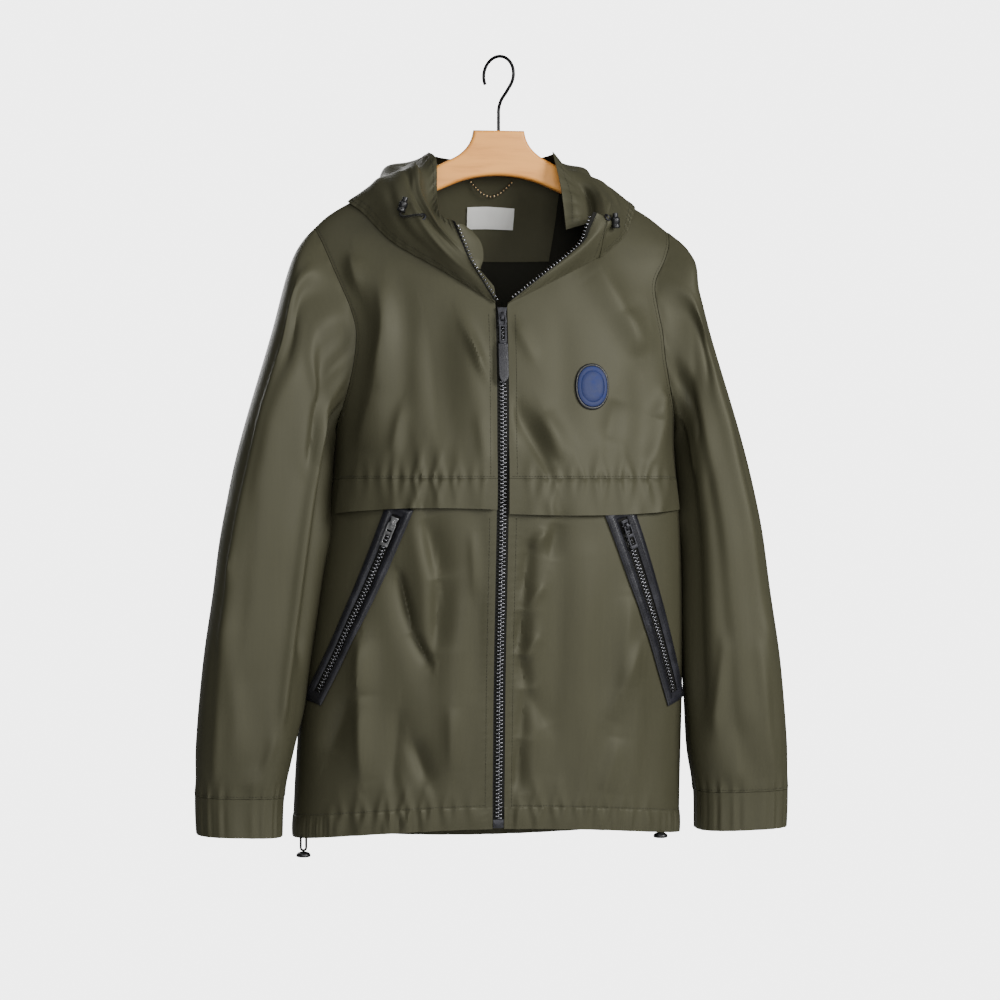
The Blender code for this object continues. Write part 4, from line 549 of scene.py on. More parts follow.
class WindbreakerColours(bpy.types.PropertyGroup):
    """Colours of the materials, linear."""
    nylon: colour_property("Nylon", "Olive cloth of the garment", (0.0490, 0.0470, 0.0270))
    # Near-black colour on the inside faces of the back: painted shade inside the garment
    inside_shade: colour_property("Lining", "Dark inside of the back", (0.0100, 0.0097, 0.0070))
    thread: colour_property("Thread", "Sewing thread on the nylon", (0.0220, 0.0209, 0.0122))
    leather: colour_property("Leather", "Pocket welts and pull tab", (0.0085, 0.0085, 0.0120))
    tape: colour_property("Tape", "Woven tape of the zips", (0.0050, 0.0050, 0.0056))
    gunmetal: colour_property("Gunmetal", "Sliders and eyelets", (0.038, 0.038, 0.042))
    teeth: colour_property("Teeth", "Polished teeth of the zips", (0.17, 0.17, 0.18))
    # Steel goes on the right pocket's slider and pull alone, and the left one's get dark gunmetal: a lit and a shaded
    # copy of one metal, painted light and shade
    steel: colour_property("Steel", "Bright pocket pull", (0.34, 0.34, 0.34))
    plastic: colour_property("Plastic", "Toggles and badge backing", (0.0060, 0.0060, 0.0065))
    cord: colour_property("Cord", "Drawcords", (0.0070, 0.0070, 0.0070))
    label: colour_property("Label", "Bare woven label", (0.70, 0.70, 0.67))
    badge: colour_property("Badge", "Badge face", (0.0048, 0.0150, 0.0850))
    brass: colour_property("Brass", "Beads of the hang loop", (0.62, 0.46, 0.26))
    wood: colour_property("Wood", "Hanger body", (1.0, 0.43, 0.080))
    wood_dark: colour_property("Wood grain", "Dark lines of the hanger's grain", (0.56, 0.17, 0.028))
    wire: colour_property("Wire", "Hook", (0.0060, 0.0060, 0.0065))
    floor: colour_property("Floor", "Studio floor", (0.80, 0.80, 0.80))


def mix(first, last, share):
    return first + (last - first) * share


def ease(share):
    """Smooth step from 0 to 1."""
    share = np.clip(share, 0.0, 1.0)
    return share * share * (3.0 - 2.0 * share)


def smooth(places, values, at):
    """Cubic through the rows of a table, level beyond its ends; a row may hold one number or a point."""
    at = np.clip(at, places[0], places[-1])
    extra = (1,) * (values.ndim - 1)
    slope = np.empty_like(values)
    slope[1:-1] = (values[2:] - values[:-2]) / (places[2:] - places[:-2]).reshape((-1,) + extra)
    slope[0] = (values[1] - values[0]) / (places[1] - places[0])
    slope[-1] = (values[-1] - values[-2]) / (places[-1] - places[-2])
    low = np.clip(np.searchsorted(places, at, side="right") - 1, 0, len(places) - 2)
    span = places[low + 1] - places[low]
    s = np.reshape((at - places[low]) / span, np.shape(at) + extra)
    span = np.reshape(span, np.shape(at) + extra)
    rise = values[low + 1] - values[low]
    start = slope[low] * span - rise
    end = rise - slope[low + 1] * span
    return values[low] + s * rise + s * (1.0 - s) * (start * (1.0 - s) + end * s)


def through(curves, at):
    """Smooth step from curve to curve: at counts the curves, with one number for each of their points."""
    last = len(curves) - 1
    at = np.clip(at, 0.0, last)
    low = np.minimum(at.astype(int), last - 1)
    before, start, end, after = (
        np.take_along_axis(curves, np.clip(low + offset, 0, last)[None, ..., None], axis=0)[0]
        for offset in (-1, 0, 1, 2))
    s = (at - low)[..., None]
    return 0.5 * (2.0 * start + (end - before) * s + (2.0 * before - 5.0 * start + 4.0 * end - after) * s * s
                  + (3.0 * start - before - 3.0 * end + after) * s ** 3)


def spread(count):
    return np.linspace(0.0, 1.0, count + 1)


def wrapped(angle):
    """Angle between -180 and 180."""
    return (angle + 180.0) % 360.0 - 180.0


def run_of(points):
    """Distance along a line of points, from its start to each of them."""
    return np.concatenate(((0.0,), np.cumsum(np.linalg.norm(np.diff(points, axis=0), axis=-1))))


def rows_of(made):
    """Two grids from rows that each hold a pair."""
    return np.stack([first for first, _ in made]), np.stack([second for _, second in made])


def unit(vectors):
    return vectors / np.maximum(np.linalg.norm(vectors, axis=-1, keepdims=True), 1e-12)


def half_width(down):
    return smooth(TORSO[:, 0], TORSO[:, 1], down)


def shoulder(across):
    return smooth(SHOULDER[:, 0], SHOULDER[:, 1], np.abs(across))


def armhole_across(down):
    return smooth(ARMHOLE[:, 0], ARMHOLE[:, 1], down)


def angle_at(across, down, back=False):
    """Angle round the torso (0 front, 90 side, 180 back) of a place seen from the front."""
    angle = np.degrees(np.arcsin(np.minimum(1.0, np.abs(across) / half_width(down))))
    return np.copysign(180.0 - angle if back else angle, across)


def torso(angle, down):
    """Smooth torso. Past the shoulder line it carries on down the other face."""
    angle = wrapped(angle)
    turn = np.radians(np.abs(angle))
    across = half_width(down) * np.sin(turn)
    ridge = shoulder(across)
    back = (turn > math.pi / 2.0) ^ (down < ridge)
    below = np.abs(down - ridge)
    level = ridge + below
    depth = np.where(back, smooth(TORSO[:, 0], TORSO[:, 3], level), smooth(TORSO[:, 0], TORSO[:, 2], level))
    fall = (1.0 - np.exp(-below / SHOULDER_REACH)) ** SHOULDER_POWER
    round_off = np.maximum(0.0, 1.0 - np.sin(turn) ** TORSO_SQUARENESS) ** (1.0 / TORSO_SQUARENESS)
    y = depth * fall * round_off + SEAM_GAP / 2.0
    return np.stack((np.copysign(across, angle), np.where(back, y, -y), -level), axis=-1)


def torso_normal(angle, down):
    along = torso(angle + 0.6, down) - torso(angle - 0.6, down)
    downward = torso(angle, down + 0.0015) - torso(angle, down - 0.0015)
    return unit(np.cross(downward, along))


def segment(x, down, x0, down0, x1, down1):
    """Share along a line between two places, and the signed distance beside it."""
    run, drop = x1 - x0, down1 - down0
    length = math.hypot(run, drop)
    place = np.clip(((x - x0) * run + (down - down0) * drop) / length ** 2, 0.0, 1.0)
    away = np.hypot(x - x0 - run * place, down - down0 - drop * place)
    side = np.sign((x - x0) * drop - (down - down0) * run)
    return place, away * np.where(side == 0.0, 1.0, side)


def fold_height(folds, x, down):
    """Sum of the large soft folds."""
    total = np.zeros(np.shape(x))
    for x0, down0, x1, down1, width, height in folds:
        place, away = segment(x, down, x0, down0, x1, down1)
        taper = 1.0 - 0.6 * np.abs(2.0 * place - 1.0) ** 3
        total += height * taper * np.exp(-(away / width) ** 2)
    return total


def crease_height(creases, x, down):
    """Sum of the creases: steep on one side, easy on the other, and running out at their ends."""
    total = np.zeros(np.shape(x))
    for x0, down0, x1, down1, width, skew, height in creases:
        place, away = segment(x, down, x0, down0, x1, down1)
        taper = 1.0 - 0.75 * np.abs(2.0 * place - 1.0) ** 2.5
        reach = CREASE_REACH * np.where(away > 0.0, width * skew, width)
        total += CREASE_GAIN * height * taper * np.exp(-np.abs(away / reach) ** CREASE_POWER)
    return total


def gather_height(gathers, x, away):
    """Gathers that rise from a sewn line and die out away from it."""
    total = np.zeros(np.shape(x))
    for place, lean, width, height, reach in gathers:
        across = (x - place - lean * away) / (width * (1.0 + 12.0 * away))
        total += height * np.exp(-across ** 2) * np.exp(-(away / reach) ** 1.3)
    return total


def pucker(away, along, reach, height, pitch):
    """Small waves along a sewn line, strongest on it."""
    turn = math.tau * along / pitch
    wave = np.sin(turn + 1.7 * np.sin(turn * 0.137 + 0.6)) + 0.5 * np.sin(turn * 1.83 + 2.1 * np.sin(turn * 0.093))
    return height * wave * np.exp(-(away / reach) ** 2)


def ripple(x, down, height):
    """Soft unevenness of hung cloth, longer down than across."""
    waves = (
        (61.0, 17.0, 0.3, 1.00), (97.0, -23.0, 1.9, 0.75), (37.0, 31.0, 4.1, 0.90),
        (143.0, 29.0, 2.6, 0.42), (83.0, 53.0, 5.2, 0.45), (191.0, -37.0, 0.9, 0.22),
    )
    total = np.zeros(np.shape(x))
    for across, along, phase, share in waves:
        total += share * np.sin(across * x + along * down + phase + 1.3 * np.sin(19.0 * down - 11.0 * x + phase))
    return height * total


def hem_level(angle, raised):
    """Level of the hem's lower edge, or of its seam, round the body."""
    middle = np.where(np.abs(angle) > 90.0, BACK_HEM, FRONT_HEM)
    return mix(SIDE_HEM, middle, np.cos(np.radians(np.abs(angle))) ** 2) - raised


def rooms(x, down, front):
    """Room from a place to the side, the shoulder line, the zip and the arm seam."""
    across = np.abs(x)
    arm = np.where(down < ARMHOLE[-1, 0], armhole_across(down) - across, 1.0)
    return half_width(down) - across, down - shoulder(x), np.where(front, across - ZIP_CLEAR, 1.0), arm


def fade(room, limits):
    """Share of the folds that is left with some room to those edges."""
    side, top, below_top, off_zip, beside_zip, arm = limits
    return (ease(room[0] / side) * ease((room[1] - top) / below_top) * ease((room[2] - off_zip) / beside_zip)
            * ease(room[3] / arm))


def body_height(point, angle):
    """Folds, creases, gathers and puckers of the body, fading at the sides, the shoulder, the zip and the arms."""
    x, down = point[..., 0], -point[..., 2]
    front = np.abs(wrapped(angle)) <= 90.0
    room = rooms(x, down, front)
    zip_room = room[2]
    large = np.where(front, fold_height(FRONT_FOLDS, x, down), fold_height(BACK_FOLDS, x, down))
    small = np.where(front, crease_height(FRONT_CREASES, x, down), crease_height(BACK_CREASES, x, down))
    small = small + ripple(x + np.where(front, 0.0, 0.7), down, sizes().ripple)
    above_seam = YOKE_SEAM - down
    yoke = gather_height(YOKE_GATHERS, x, np.abs(above_seam)) * np.where(above_seam >= -0.0005, 1.0, 0.0)
    hem_seam = hem_level(angle, HEM_HEIGHT)
    hem = gather_height(HEM_GATHERS, np.where(front, x, 0.93 * x + 0.004), np.abs(hem_seam - down))
    gathers = np.where(front, YOKE_GATHER_SHARE * yoke, 0.0) + HEM_GATHER_SHARE * hem
    gathers = gathers * ease(room[0] / 0.018) * ease((zip_room - 0.008) / 0.010)
    placket = pucker(np.abs(x) - PLACKET_LINE, down + 0.3 * x, 0.0055, 0.00016, 0.0105)
    placket = np.where(front, placket * ease((zip_room - 0.0025) / 0.003), 0.0)
    return large * FOLD_SHARE * fade(room, FOLD_FADE) + small * fade(room, CREASE_FADE) + gathers + placket


def between(down, levels):
    """1 between two levels, easing in above and out below."""
    start, rise, end, fall = levels
    return ease((down - start) / rise) * (1.0 - ease((down - end) / fall))


def sway(point):
    """Sideways move of the garment: the lower half's sway, the chest's slip and the left shoulder's push."""
    x, down = point[..., 0], -point[..., 2]
    across = np.abs(x)
    swung = SWAY * ease((down - SWAY_START) / (SWAY_END - SWAY_START))
    swung = swung * (1.0 - ease((across - SWAY_SLEEVE) / SWAY_FADE))
    sleeve_edge = smooth(SLEEVE[:, 1], SLEEVE[:, 0], down)
    held = ease(across / SLIP_ZIP) * (1.0 - ease((across - SLIP_SLEEVE) / (sleeve_edge - SLIP_SLEEVE)))
    slipped = SLIP * across * held * between(down, SLIP_LEVELS)
    pushed = PUSH * ease((x - PUSH_ACROSS) / PUSH_REACH) * between(down, PUSH_LEVELS)
    moved = np.zeros_like(point)
    moved[..., 0] = swung + slipped + pushed
    return moved


def lay(angle, down, lift=0.0):
    """Points on the outside of the hung body, moved out by lift, and the way the cloth faces there."""
    angle, down, lift = np.broadcast_arrays(np.asarray(angle, float), down, lift)
    point = torso(angle, down)
    normal = torso_normal(angle, down)
    return point + normal * (lift + body_height(point, angle))[..., None] + sway(point), normal


def lay_at(x, down, lift=0.0, back=False):
    x, down = np.broadcast_arrays(np.asarray(x, float), np.asarray(down, float))
    return lay(angle_at(x, down, back), down, lift)


def armhole_down(angle):
    """Level on the armhole at an angle round it, 0 at the shoulder tip and 180 under the arm."""
    return mix(ARMHOLE[0, 0], ARMHOLE[-1, 0], (1.0 - np.cos(np.radians(angle))) / 2.0)


def side_edge(t, turn, bottom):
    """Armhole from the shoulder tip, then the side seam."""
    if t <= turn:
        down = armhole_down(180.0 * t / turn)
        return armhole_across(down), down
    down = mix(ARMHOLE[-1, 0], bottom, (t - turn) / (1.0 - turn))
    return half_width(down), down


def yoke_inner(t, side):
    """Neckline from the shoulder, on the left kept under the open collar, then the zip edge."""
    turn = 0.42
    share = min(t / turn, 1.0)
    across, down = mix(NECK_SIDE, ZIP_HALF, share), mix(float(shoulder(NECK_SIDE)), FRONT_NECK, share ** 1.1)
    if side > 0.0:
        free = np.interp(across, COLLAR_EDGE[:, 0], COLLAR_EDGE[:, 2])
        sewn = np.interp(across, (COLLAR_EDGE[0, 0], HOOD_LEFT_FRONT[-1][0]),
                         (COLLAR_EDGE[0, 2], HOOD_LEFT_FRONT[-1][1]))
        down = mix(down, max(down, (free + sewn) / 2.0), ease(share / 0.12))
    return across, mix(down, YOKE_SEAM, max(t - turn, 0.0) / (1.0 - turn))


def yoke_row(t, share, side):
    """Angles and levels of one row of a yoke, from its neck or zip edge to the armhole or side."""
    inner, outer = yoke_inner(t, side), side_edge(t, ARM_ROWS / YOKE_ROWS, YOKE_SEAM)
    angle = mix(angle_at(*inner), angle_at(*outer), share)
    level = mix(inner[1], outer[1], share)
    x = half_width(level) * np.sin(np.radians(angle))
    arched = shoulder(x) + mix(inner[1] - shoulder(inner[0]), outer[1] - shoulder(outer[0]), share)
    level = np.maximum(mix(level, arched, (1.0 - t) ** 2), shoulder(x) + RIDGE_CLEAR)
    return angle_at(x, level), level


def flap_stand(angle, down):
    """How far the yoke stands off where it runs into its flap."""
    towards_side = 1.0 - ease((np.abs(angle) - 58.0) / 24.0)
    return FLAP_STAND * ease((down - YOKE_SEAM + 0.045) / 0.045) * towards_side


def back_top(x):
    """Top edge of the back: its neckline, then the shoulder line."""
    neck = smooth(BACK_NECKLINE[:, 0], BACK_NECKLINE[:, 1], np.abs(x))
    return np.where(np.abs(x) < BACK_NECKLINE[-1, 0], neck, shoulder(x))


def back_row(step, share):
    """Angles and levels of one row of the back's left half, from the middle to its side edge."""
    if 0.0 < step < 1.0 and step != BACK_EXTRA_ROW:
        low, high = (0.0, BACK_EXTRA_ROW) if step < BACK_EXTRA_ROW else (BACK_EXTRA_ROW, 1.0)
        upper, lower = back_row(low, share), back_row(high, share)
        place = (step - low) / (high - low)
        return mix(upper[0], lower[0], place), mix(upper[1], lower[1], place)
    turn, t = ARM_ROWS / BACK_ROWS, step / BACK_ROWS
    outer = side_edge(t, turn, SIDE_HEM - HEM_HEIGHT)
    last = angle_at(*outer)
    level = mix(mix(back_top(0.0), BACK_HEM - HEM_HEIGHT, t), outer[1], share ** 1.5)
    if step > ARM_ROWS:
        along = (t - turn) / (1.0 - turn)
        level = mix(level, mix(ARMHOLE[-1, 0], hem_level(180.0 - last * share, HEM_HEIGHT), along),
                    ease((t - turn) / 0.3))
    x = half_width(level) * np.sin(np.radians(last * share))
    if step < 1.0:
        level = back_top(x) + mix(0.010 * ease(step / BACK_EXTRA_ROW), outer[1] - shoulder(outer[0]), share ** 2)
    level = np.maximum(level, shoulder(x) + RIDGE_CLEAR)
    return np.maximum(90.0001, 180.0 - np.abs(angle_at(x, level))), level


def back_grid(steps, share, lift):
    """Points of the back on its own rows, both halves, and the way they face."""
    angle, level = rows_of([back_row(float(step), share) for step in steps])
    return lay(np.concatenate((-angle[:, :0:-1], angle), axis=1),
               np.concatenate((level[:, :0:-1], level), axis=1), lift)


def sleeve_base(angle, ring):
    """Smooth curve through the armhole and the rings at each angle."""
    angle, ring = np.broadcast_arrays(np.asarray(angle, float), np.asarray(ring, float))
    turn = np.radians(angle)
    power = 2.0 / SLEEVE_SQUARENESS
    along = (1.0 + np.copysign(np.abs(np.cos(turn)) ** power, np.cos(turn))) / 2.0
    forward = np.copysign(np.abs(np.sin(turn)) ** power, np.sin(turn))
    down = armhole_down(angle % 360.0)
    across = armhole_across(down)
    start = torso(np.where(angle % 360.0 > 180.0, angle_at(across, down, True), angle_at(across, down)), down)
    curves = [start + np.array((SLEEVE_SEAM_GAP, 0.0, 0.0))]
    for top_x, top_down, under_x, under_down, middle, half_depth in SLEEVE:
        curves.append(np.stack((mix(under_x, top_x, along), middle - forward * half_depth,
                                -mix(under_down, top_down, along)), axis=-1))
    return through(np.stack(curves), ring)


def sleeve(angle, ring, lift, side):
    """Points on the outside of one sleeve with its folds, as on the left, and the way they face."""
    around = sleeve_base(angle + 4.0, ring) - sleeve_base(angle - 4.0, ring)
    downward = sleeve_base(angle, ring + 0.05) - sleeve_base(angle, ring - 0.05)
    normal = unit(np.cross(around, downward))
    height = np.zeros(np.broadcast(angle, ring).shape)
    for folds, ring_scale, share in ((SLEEVE_FOLDS, 40.0, 0.7), (SLEEVE_CREASES[side], 30.0, 1.0)):
        for angle0, ring0, angle1, ring1, width, rise in folds:
            place = np.clip((ring - ring0) / (ring1 - ring0), 0.0, 1.0)
            beyond = (ring - mix(ring0, ring1, place)) * ring_scale
            away = np.hypot(angle - mix(angle0, angle1, place), beyond)
            height = height + share * rise * np.exp(-(away / width) ** 2)
    height = height * ease(ring / 0.8) * ease((CUFF_SEAM - ring) / 0.4)
    turn = np.radians(angle)
    soft = ripple(0.05 * np.cos(turn) + (0.4 if side == "right" else 1.1), 0.09 * ring + 0.05 * np.sin(turn),
                  sizes().ripple)
    height = height + soft * ease(ring / 0.3) * ease((CUFF_SEAM - ring) / 0.3)
    cap = pucker(ring * 0.09, angle * 0.0013 + (0.2 if side == "right" else 0.0), 0.012, 0.0007, 0.021)
    return sleeve_base(angle, ring) + normal * (lift + height + cap * ease(ring / 0.06))[..., None], normal


def cuff_wave(angle, side):
    """Uneven gathers round a cuff, between -1 and 1."""
    turn = np.radians(angle)
    shift = 0.5 if side == "right" else 1.6
    return 0.72 * np.cos(23.0 * turn + 1.5 * np.sin(3.0 * turn + shift)) + 0.28 * np.cos(37.0 * turn + shift)


def for_side(points, side):
    """Points of the left side, or their mirror image, moved with the garment's sway."""
    points = points * MIRROR[side]
    return points + sway(points)


def sleeve_on(angle, ring, lift, side):
    """Points on one sleeve in its place on the garment, and the way they face."""
    points, normal = sleeve(angle, ring, lift, side)
    return for_side(points, side), normal * MIRROR[side]


def hood_guides():
    """Guiding points of every section, in order round the neck."""
    def flipped(row):
        return tuple(-value if number in (0, 2, 5) else value for number, value in enumerate(row))

    left_back = tuple(flipped(row) for row in reversed(HOOD_RIGHT_BACK))
    order = HOOD_RIGHT_FRONT + HOOD_RIGHT_BACK + (HOOD_MIDDLE,) + left_back + HOOD_LEFT_FRONT
    first_back = len(HOOD_RIGHT_FRONT) + 1
    guides = []
    for number, row in enumerate(order):
        seam_x, seam_down, crest_x, crest_y, crest_down, edge_x, edge_y, edge_down = row[:8]
        puff_y, puff_down, tuck, tuck_back, tuck_at = row[8:]
        back = first_back <= number <= first_back + 4
        seam = lay_at(seam_x, max(seam_down, float(shoulder(seam_x))), HOOD_LIFT, back)[0]
        crest = np.array((crest_x, crest_y, -crest_down))
        edge = np.array((edge_x, edge_y, -edge_down))
        turn = (seam + crest) / 2.0 + np.array((0.0, puff_y, -puff_down))
        dip = mix(crest, edge, tuck_at) + np.array((0.0, tuck_back, -tuck))
        guides.append(np.stack((seam, turn, crest, dip, edge)))
    return guides


def hood(u, v, guides):
    """Smooth surface through the sections: u counts the sections, v runs from the seam to the free edge."""
    u, v = np.broadcast_arrays(np.asarray(u, float), np.asarray(v, float))
    point = through(np.stack([smooth(HOOD_STOPS, guide, v) for guide in guides]), u)
    x = point[..., 0]
    behind = lay_at(x, np.maximum(-point[..., 2], shoulder(x) + RIDGE_CLEAR), HOOD_LIFT, back=True)[0][..., 1]
    lower = (v < 0.6) & (u > HOOD_BACK_FIRST) & (u < HOOD_BACK_LAST)
    point[..., 1] = np.where(lower, np.maximum(point[..., 1], behind), point[..., 1])
    return point


def hood_lay(u, v, guides, lift=0.0, creased=True):
    """Points of the hood with its creases, and the way they face."""
    along = hood(u + 0.06, v, guides) - hood(u - 0.06, v, guides)
    upward = hood(u, v + 0.02, guides) - hood(u, v - 0.02, guides)
    normal = unit(np.cross(upward, along))
    u, v = np.broadcast_arrays(np.asarray(u, float), np.asarray(v, float))
    height = np.zeros(u.shape) + lift
    if creased:
        crease = np.zeros(u.shape)
        for u0, v0, u1, v1, width, rise in HOOD_CREASES:
            place, away = segment(u, v * 4.0, u0, v0 * 4.0, u1, v1 * 4.0)
            crease += rise * (1.0 - 0.7 * np.abs(2.0 * place - 1.0) ** 2.5) * np.exp(-(away / width) ** 2)
        crease += ripple(u * 0.045 + 0.3, v * 0.11, sizes().ripple * 0.8)
        height += crease * ease(v / 0.08) * ease((1.0 - v) / 0.06) * ease(u / 0.25) * ease((HOOD_LAST - u) / 0.3)
        height += pucker((1.0 - v) * 0.10 - 0.006, u * 0.04, 0.005, 0.0004, 0.012)
        height += pucker(v * 0.10 - 0.003, u * 0.045, 0.006, 0.0004, 0.014) * ease(v / 0.02)
    return hood(u, v, guides) + normal * height[..., None], normal


def collar(share, v, guides):
    """Left front of the collar: share runs from the zip's edge to the hood, v from the neck seam up."""
    share, v = np.broadcast_arrays(np.asarray(share, float), np.asarray(v, float))

    def across(height):
        start = smooth(HOOD_STOPS, COLLAR_EDGE * np.array((1.0, 1.0, -1.0)), height)
        end = hood(np.full(height.shape, float(HOOD_LAST)), COLLAR_TOP * height, guides)
        return mix(start, end + unit(start - end) * COLLAR_GAP, share[..., None])

    foot = across(np.zeros(v.shape))
    laid = lay_at(foot[..., 0], -foot[..., 2], HOOD_LIFT)[0]
    point = across(v) + (laid - foot) * ((1.0 - v) ** 2)[..., None]
    point[..., 1] -= COLLAR_PUFF * np.sin(math.pi * share) * np.sin(math.pi * np.clip(v, 0.0, 1.0))
    return point


def collar_lay(share, v, guides, lift=0.0):
    along = collar(share + 0.03, v, guides) - collar(share - 0.03, v, guides)
    high, low = np.minimum(1.0, v + 0.03), np.maximum(0.0, v - 0.03)
    normal = unit(np.cross(along, collar(share, high, guides) - collar(share, low, guides)))
    return collar(share, v, guides) + normal * lift, normal


def zip_end(side, v, away, lift, guides):
    """Places beside the open front edge of one side, carried on past it, and the way they face."""
    if side == "right":
        (edge, normal), beside = hood_lay(0.0, v, guides, 0.0, False), hood(0.08, v, guides)
    else:
        (edge, normal), beside = collar_lay(0.0, v, guides), collar(0.05, v, guides)
    return edge + unit(edge - beside) * away + normal * lift, normal


def pocket_place(pocket, share, across):
    """Place on a pocket seen from the front: share runs down it, across is -1 to 1 over its width."""
    (top_x, top_down, top_half), (low_x, low_down, low_half) = pocket
    length = math.hypot(low_x - top_x, low_down - top_down)
    half = mix(top_half, low_half, share)
    x = mix(top_x, low_x, share) + (low_down - top_down) / length * half * across
    return x, mix(top_down, low_down, share) - (low_x - top_x) / length * half * across


def sizes():
    return bpy.context.scene.windbreaker_sizes


def colours():
    return bpy.context.scene.windbreaker_colours


def garment(points):
    """Places of the garment in the frame."""
    return np.asarray(points, float) + GARMENT_SHIFT


def settle(piece, material, node=None, body="jacket"):
    """Link a piece, give it its material and body, and hide the solid of the node it stands for."""
    bpy.context.scene.collection.objects.link(piece)
    piece.data.materials.append(bpy.data.materials[LOOK + material])
    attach(piece, body)
    if node:
        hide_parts(node)
    return piece


def smooth_mesh(data, sharp, weld=None):
    """Join points that meet, face the mesh out, and smooth it but for its sharp edges."""
    mesh = bmesh.new()
    mesh.from_mesh(data)
    if weld:
        bmesh.ops.remove_doubles(mesh, verts=mesh.verts, dist=weld)
    bmesh.ops.recalc_face_normals(mesh, faces=mesh.faces)
    mesh.to_mesh(data)
    mesh.free()
    data.shade_smooth()
    data.set_sharp_from_angle(angle=sharp)


def mesh_piece(name, verts, faces, material, node=None, sharp=SHARP):
    """New piece of the garment or hanger from points and faces."""
    data = bpy.data.meshes.new(name)
    data.from_pydata([tuple(point) for point in verts], [], [tuple(face) for face in faces])
    smooth_mesh(data, sharp)
    return settle(bpy.data.objects.new(name, data), material, node)


def wall(name, outside, normal, thick, material, node=None, closed=False):
    """Thin closed wall on a grid of points."""
    rows, columns = outside.shape[:2]
    count = rows * columns
    inside = outside - normal * thick
    verts = garment(np.concatenate((outside.reshape(-1, 3), inside.reshape(-1, 3))))
    index = np.arange(count).reshape(rows, columns)
    if closed:
        index = np.concatenate((index, index[:, :1]), axis=1)
    face = np.stack((index[:-1, :-1], index[:-1, 1:], index[1:, 1:], index[1:, :-1]), axis=-1).reshape(-1, 4)
    lines = [index[0], index[-1]] + ([] if closed else [index[:, 0], index[:, -1]])
    rims = [np.stack((line[:-1], line[1:], line[1:] + count, line[:-1] + count), axis=-1) for line in lines]
    faces = np.concatenate([face, face[:, ::-1] + count] + rims)
    return mesh_piece(name, verts, faces.tolist(), material, node)


def panel(node, outside, normal, held, rests_on, thick=None, closed=False, material="nylon", ending="_cloth"):
    """Cloth of one node, as a thin wall on its grid."""
    piece = wall(node + ending, outside, normal, thick or sizes().cloth, material, node, closed)
    across = np.linalg.norm(np.diff(outside, axis=1), axis=-1).sum(axis=1)
    if closed:
        across = across + np.linalg.norm(outside[:, -1] - outside[:, 0], axis=-1)
    return piece


def along_frames(points, normals):
    """Origins and axes along a line: X across, Y along, Z off the surface."""
    along = unit(np.gradient(points, axis=0))
    normals = unit(normals - along * np.sum(normals * along, axis=-1, keepdims=True))
    return points, np.stack((np.cross(along, normals), along, normals), axis=-1)


def resample(points, normals, pitch):
    """Even places along a line, with the way the surface faces there."""
    steps = run_of(points)
    count = max(2, int(steps[-1] / pitch))
    at = (np.arange(count) + 0.5) * steps[-1] / count
    place, facing = (np.stack([np.interp(at, steps, values[:, axis]) for axis in range(3)], axis=-1)
                     for values in (points, normals))
    return place, unit(facing)


def repeat(base_verts, base_faces, origins, axes):
    """Copies of one small shape, one for each frame, as points and faces."""
    base_verts = np.asarray(base_verts, float)
    verts = origins[:, None, :] + np.einsum("mij,nj->mni", axes, base_verts)
    offsets = np.arange(len(origins)) * len(base_verts)
    faces = [tuple(corner + offset for corner in face) for offset in offsets.tolist() for face in base_faces]
    return verts.reshape(-1, 3), faces


def stack(rings):
    """Points and faces of a solid from rings of the same number of points, closed at both ends."""
    count = len(rings[0])
    verts = [point for ring in rings for point in ring]
    faces = [tuple(range(count))[::-1], tuple(range((len(rings) - 1) * count, len(rings) * count))]
    for low in range(0, (len(rings) - 1) * count, count):
        for here in range(count):
            there = (here + 1) % count
            faces.append((low + here, low + there, low + count + there, low + count + here))
    return verts, faces


def stitch_shape():
    """One stitch: a short thread with round ends, half sunk in the cloth."""
    half, radius = sizes().stitch / 2.0, sizes().thread
    turns = [math.tau * number / 6 for number in range(6)]
    return stack([[(radius * share * math.cos(turn), y,
                    radius * share * math.sin(turn) + radius * (share - 0.6)) for turn in turns]
                  for y, share in ((-half, 0.35), (-half * 0.72, 1.0), (half * 0.72, 1.0), (half, 0.35))])


def stitch_lines(name, lines, material="thread"):
    """Rows of stitches on lines of points with the way the cloth faces."""
    pitch = sizes().stitch + sizes().stitch_gap
    frames = [along_frames(*resample(*line, pitch)) for line in lines]
    verts, faces = repeat(*stitch_shape(), *(np.concatenate(part) for part in zip(*frames)))
    mesh_piece(name, garment(verts), faces, material, sharp=math.pi)


def tube(name, points, radius, material, node=None):
    """Round rod along points, closed at its ends."""
    ahead = unit(np.gradient(np.asarray(points, float), axis=0))
    across = np.cross(ahead[0], ROD_SIDE)
    turns = math.tau * np.arange(ROD_STEPS)[:, None] / ROD_STEPS
    rings = []
    for place, way in zip(points, ahead):
        across = unit(across - way * np.dot(across, way))
        rings.append(place + radius * (np.cos(turns) * across + np.sin(turns) * np.cross(way, across)))
    return mesh_piece(name, *stack(rings), material, node, ROD_SHARP)


def turned(name, profile, origin, axis, material, node):
    """Turned piece from rows of radius and height, standing on a place of the garment along an axis."""
    turn = np.linspace(0.0, math.tau, TURNED_STEPS, endpoint=False)
    rows = np.array([[(radius * math.cos(a), radius * math.sin(a), height) for a in turn]
                     for radius, height in profile])
    place = np.array(Vector(axis).to_track_quat("Z", "Y").to_matrix())
    verts = garment(rows.reshape(-1, 3) @ place.T + np.asarray(origin))
    index = np.arange(len(profile) * TURNED_STEPS).reshape(len(profile), TURNED_STEPS)
    beside, after = np.roll(index, -1, axis=1), np.roll(index, -1, axis=0)
    faces = np.stack((index, beside, np.roll(after, -1, axis=1), after), axis=-1).reshape(-1, 4)
    return mesh_piece(name, verts, faces.tolist(), material, node, TURNED_SHARP)


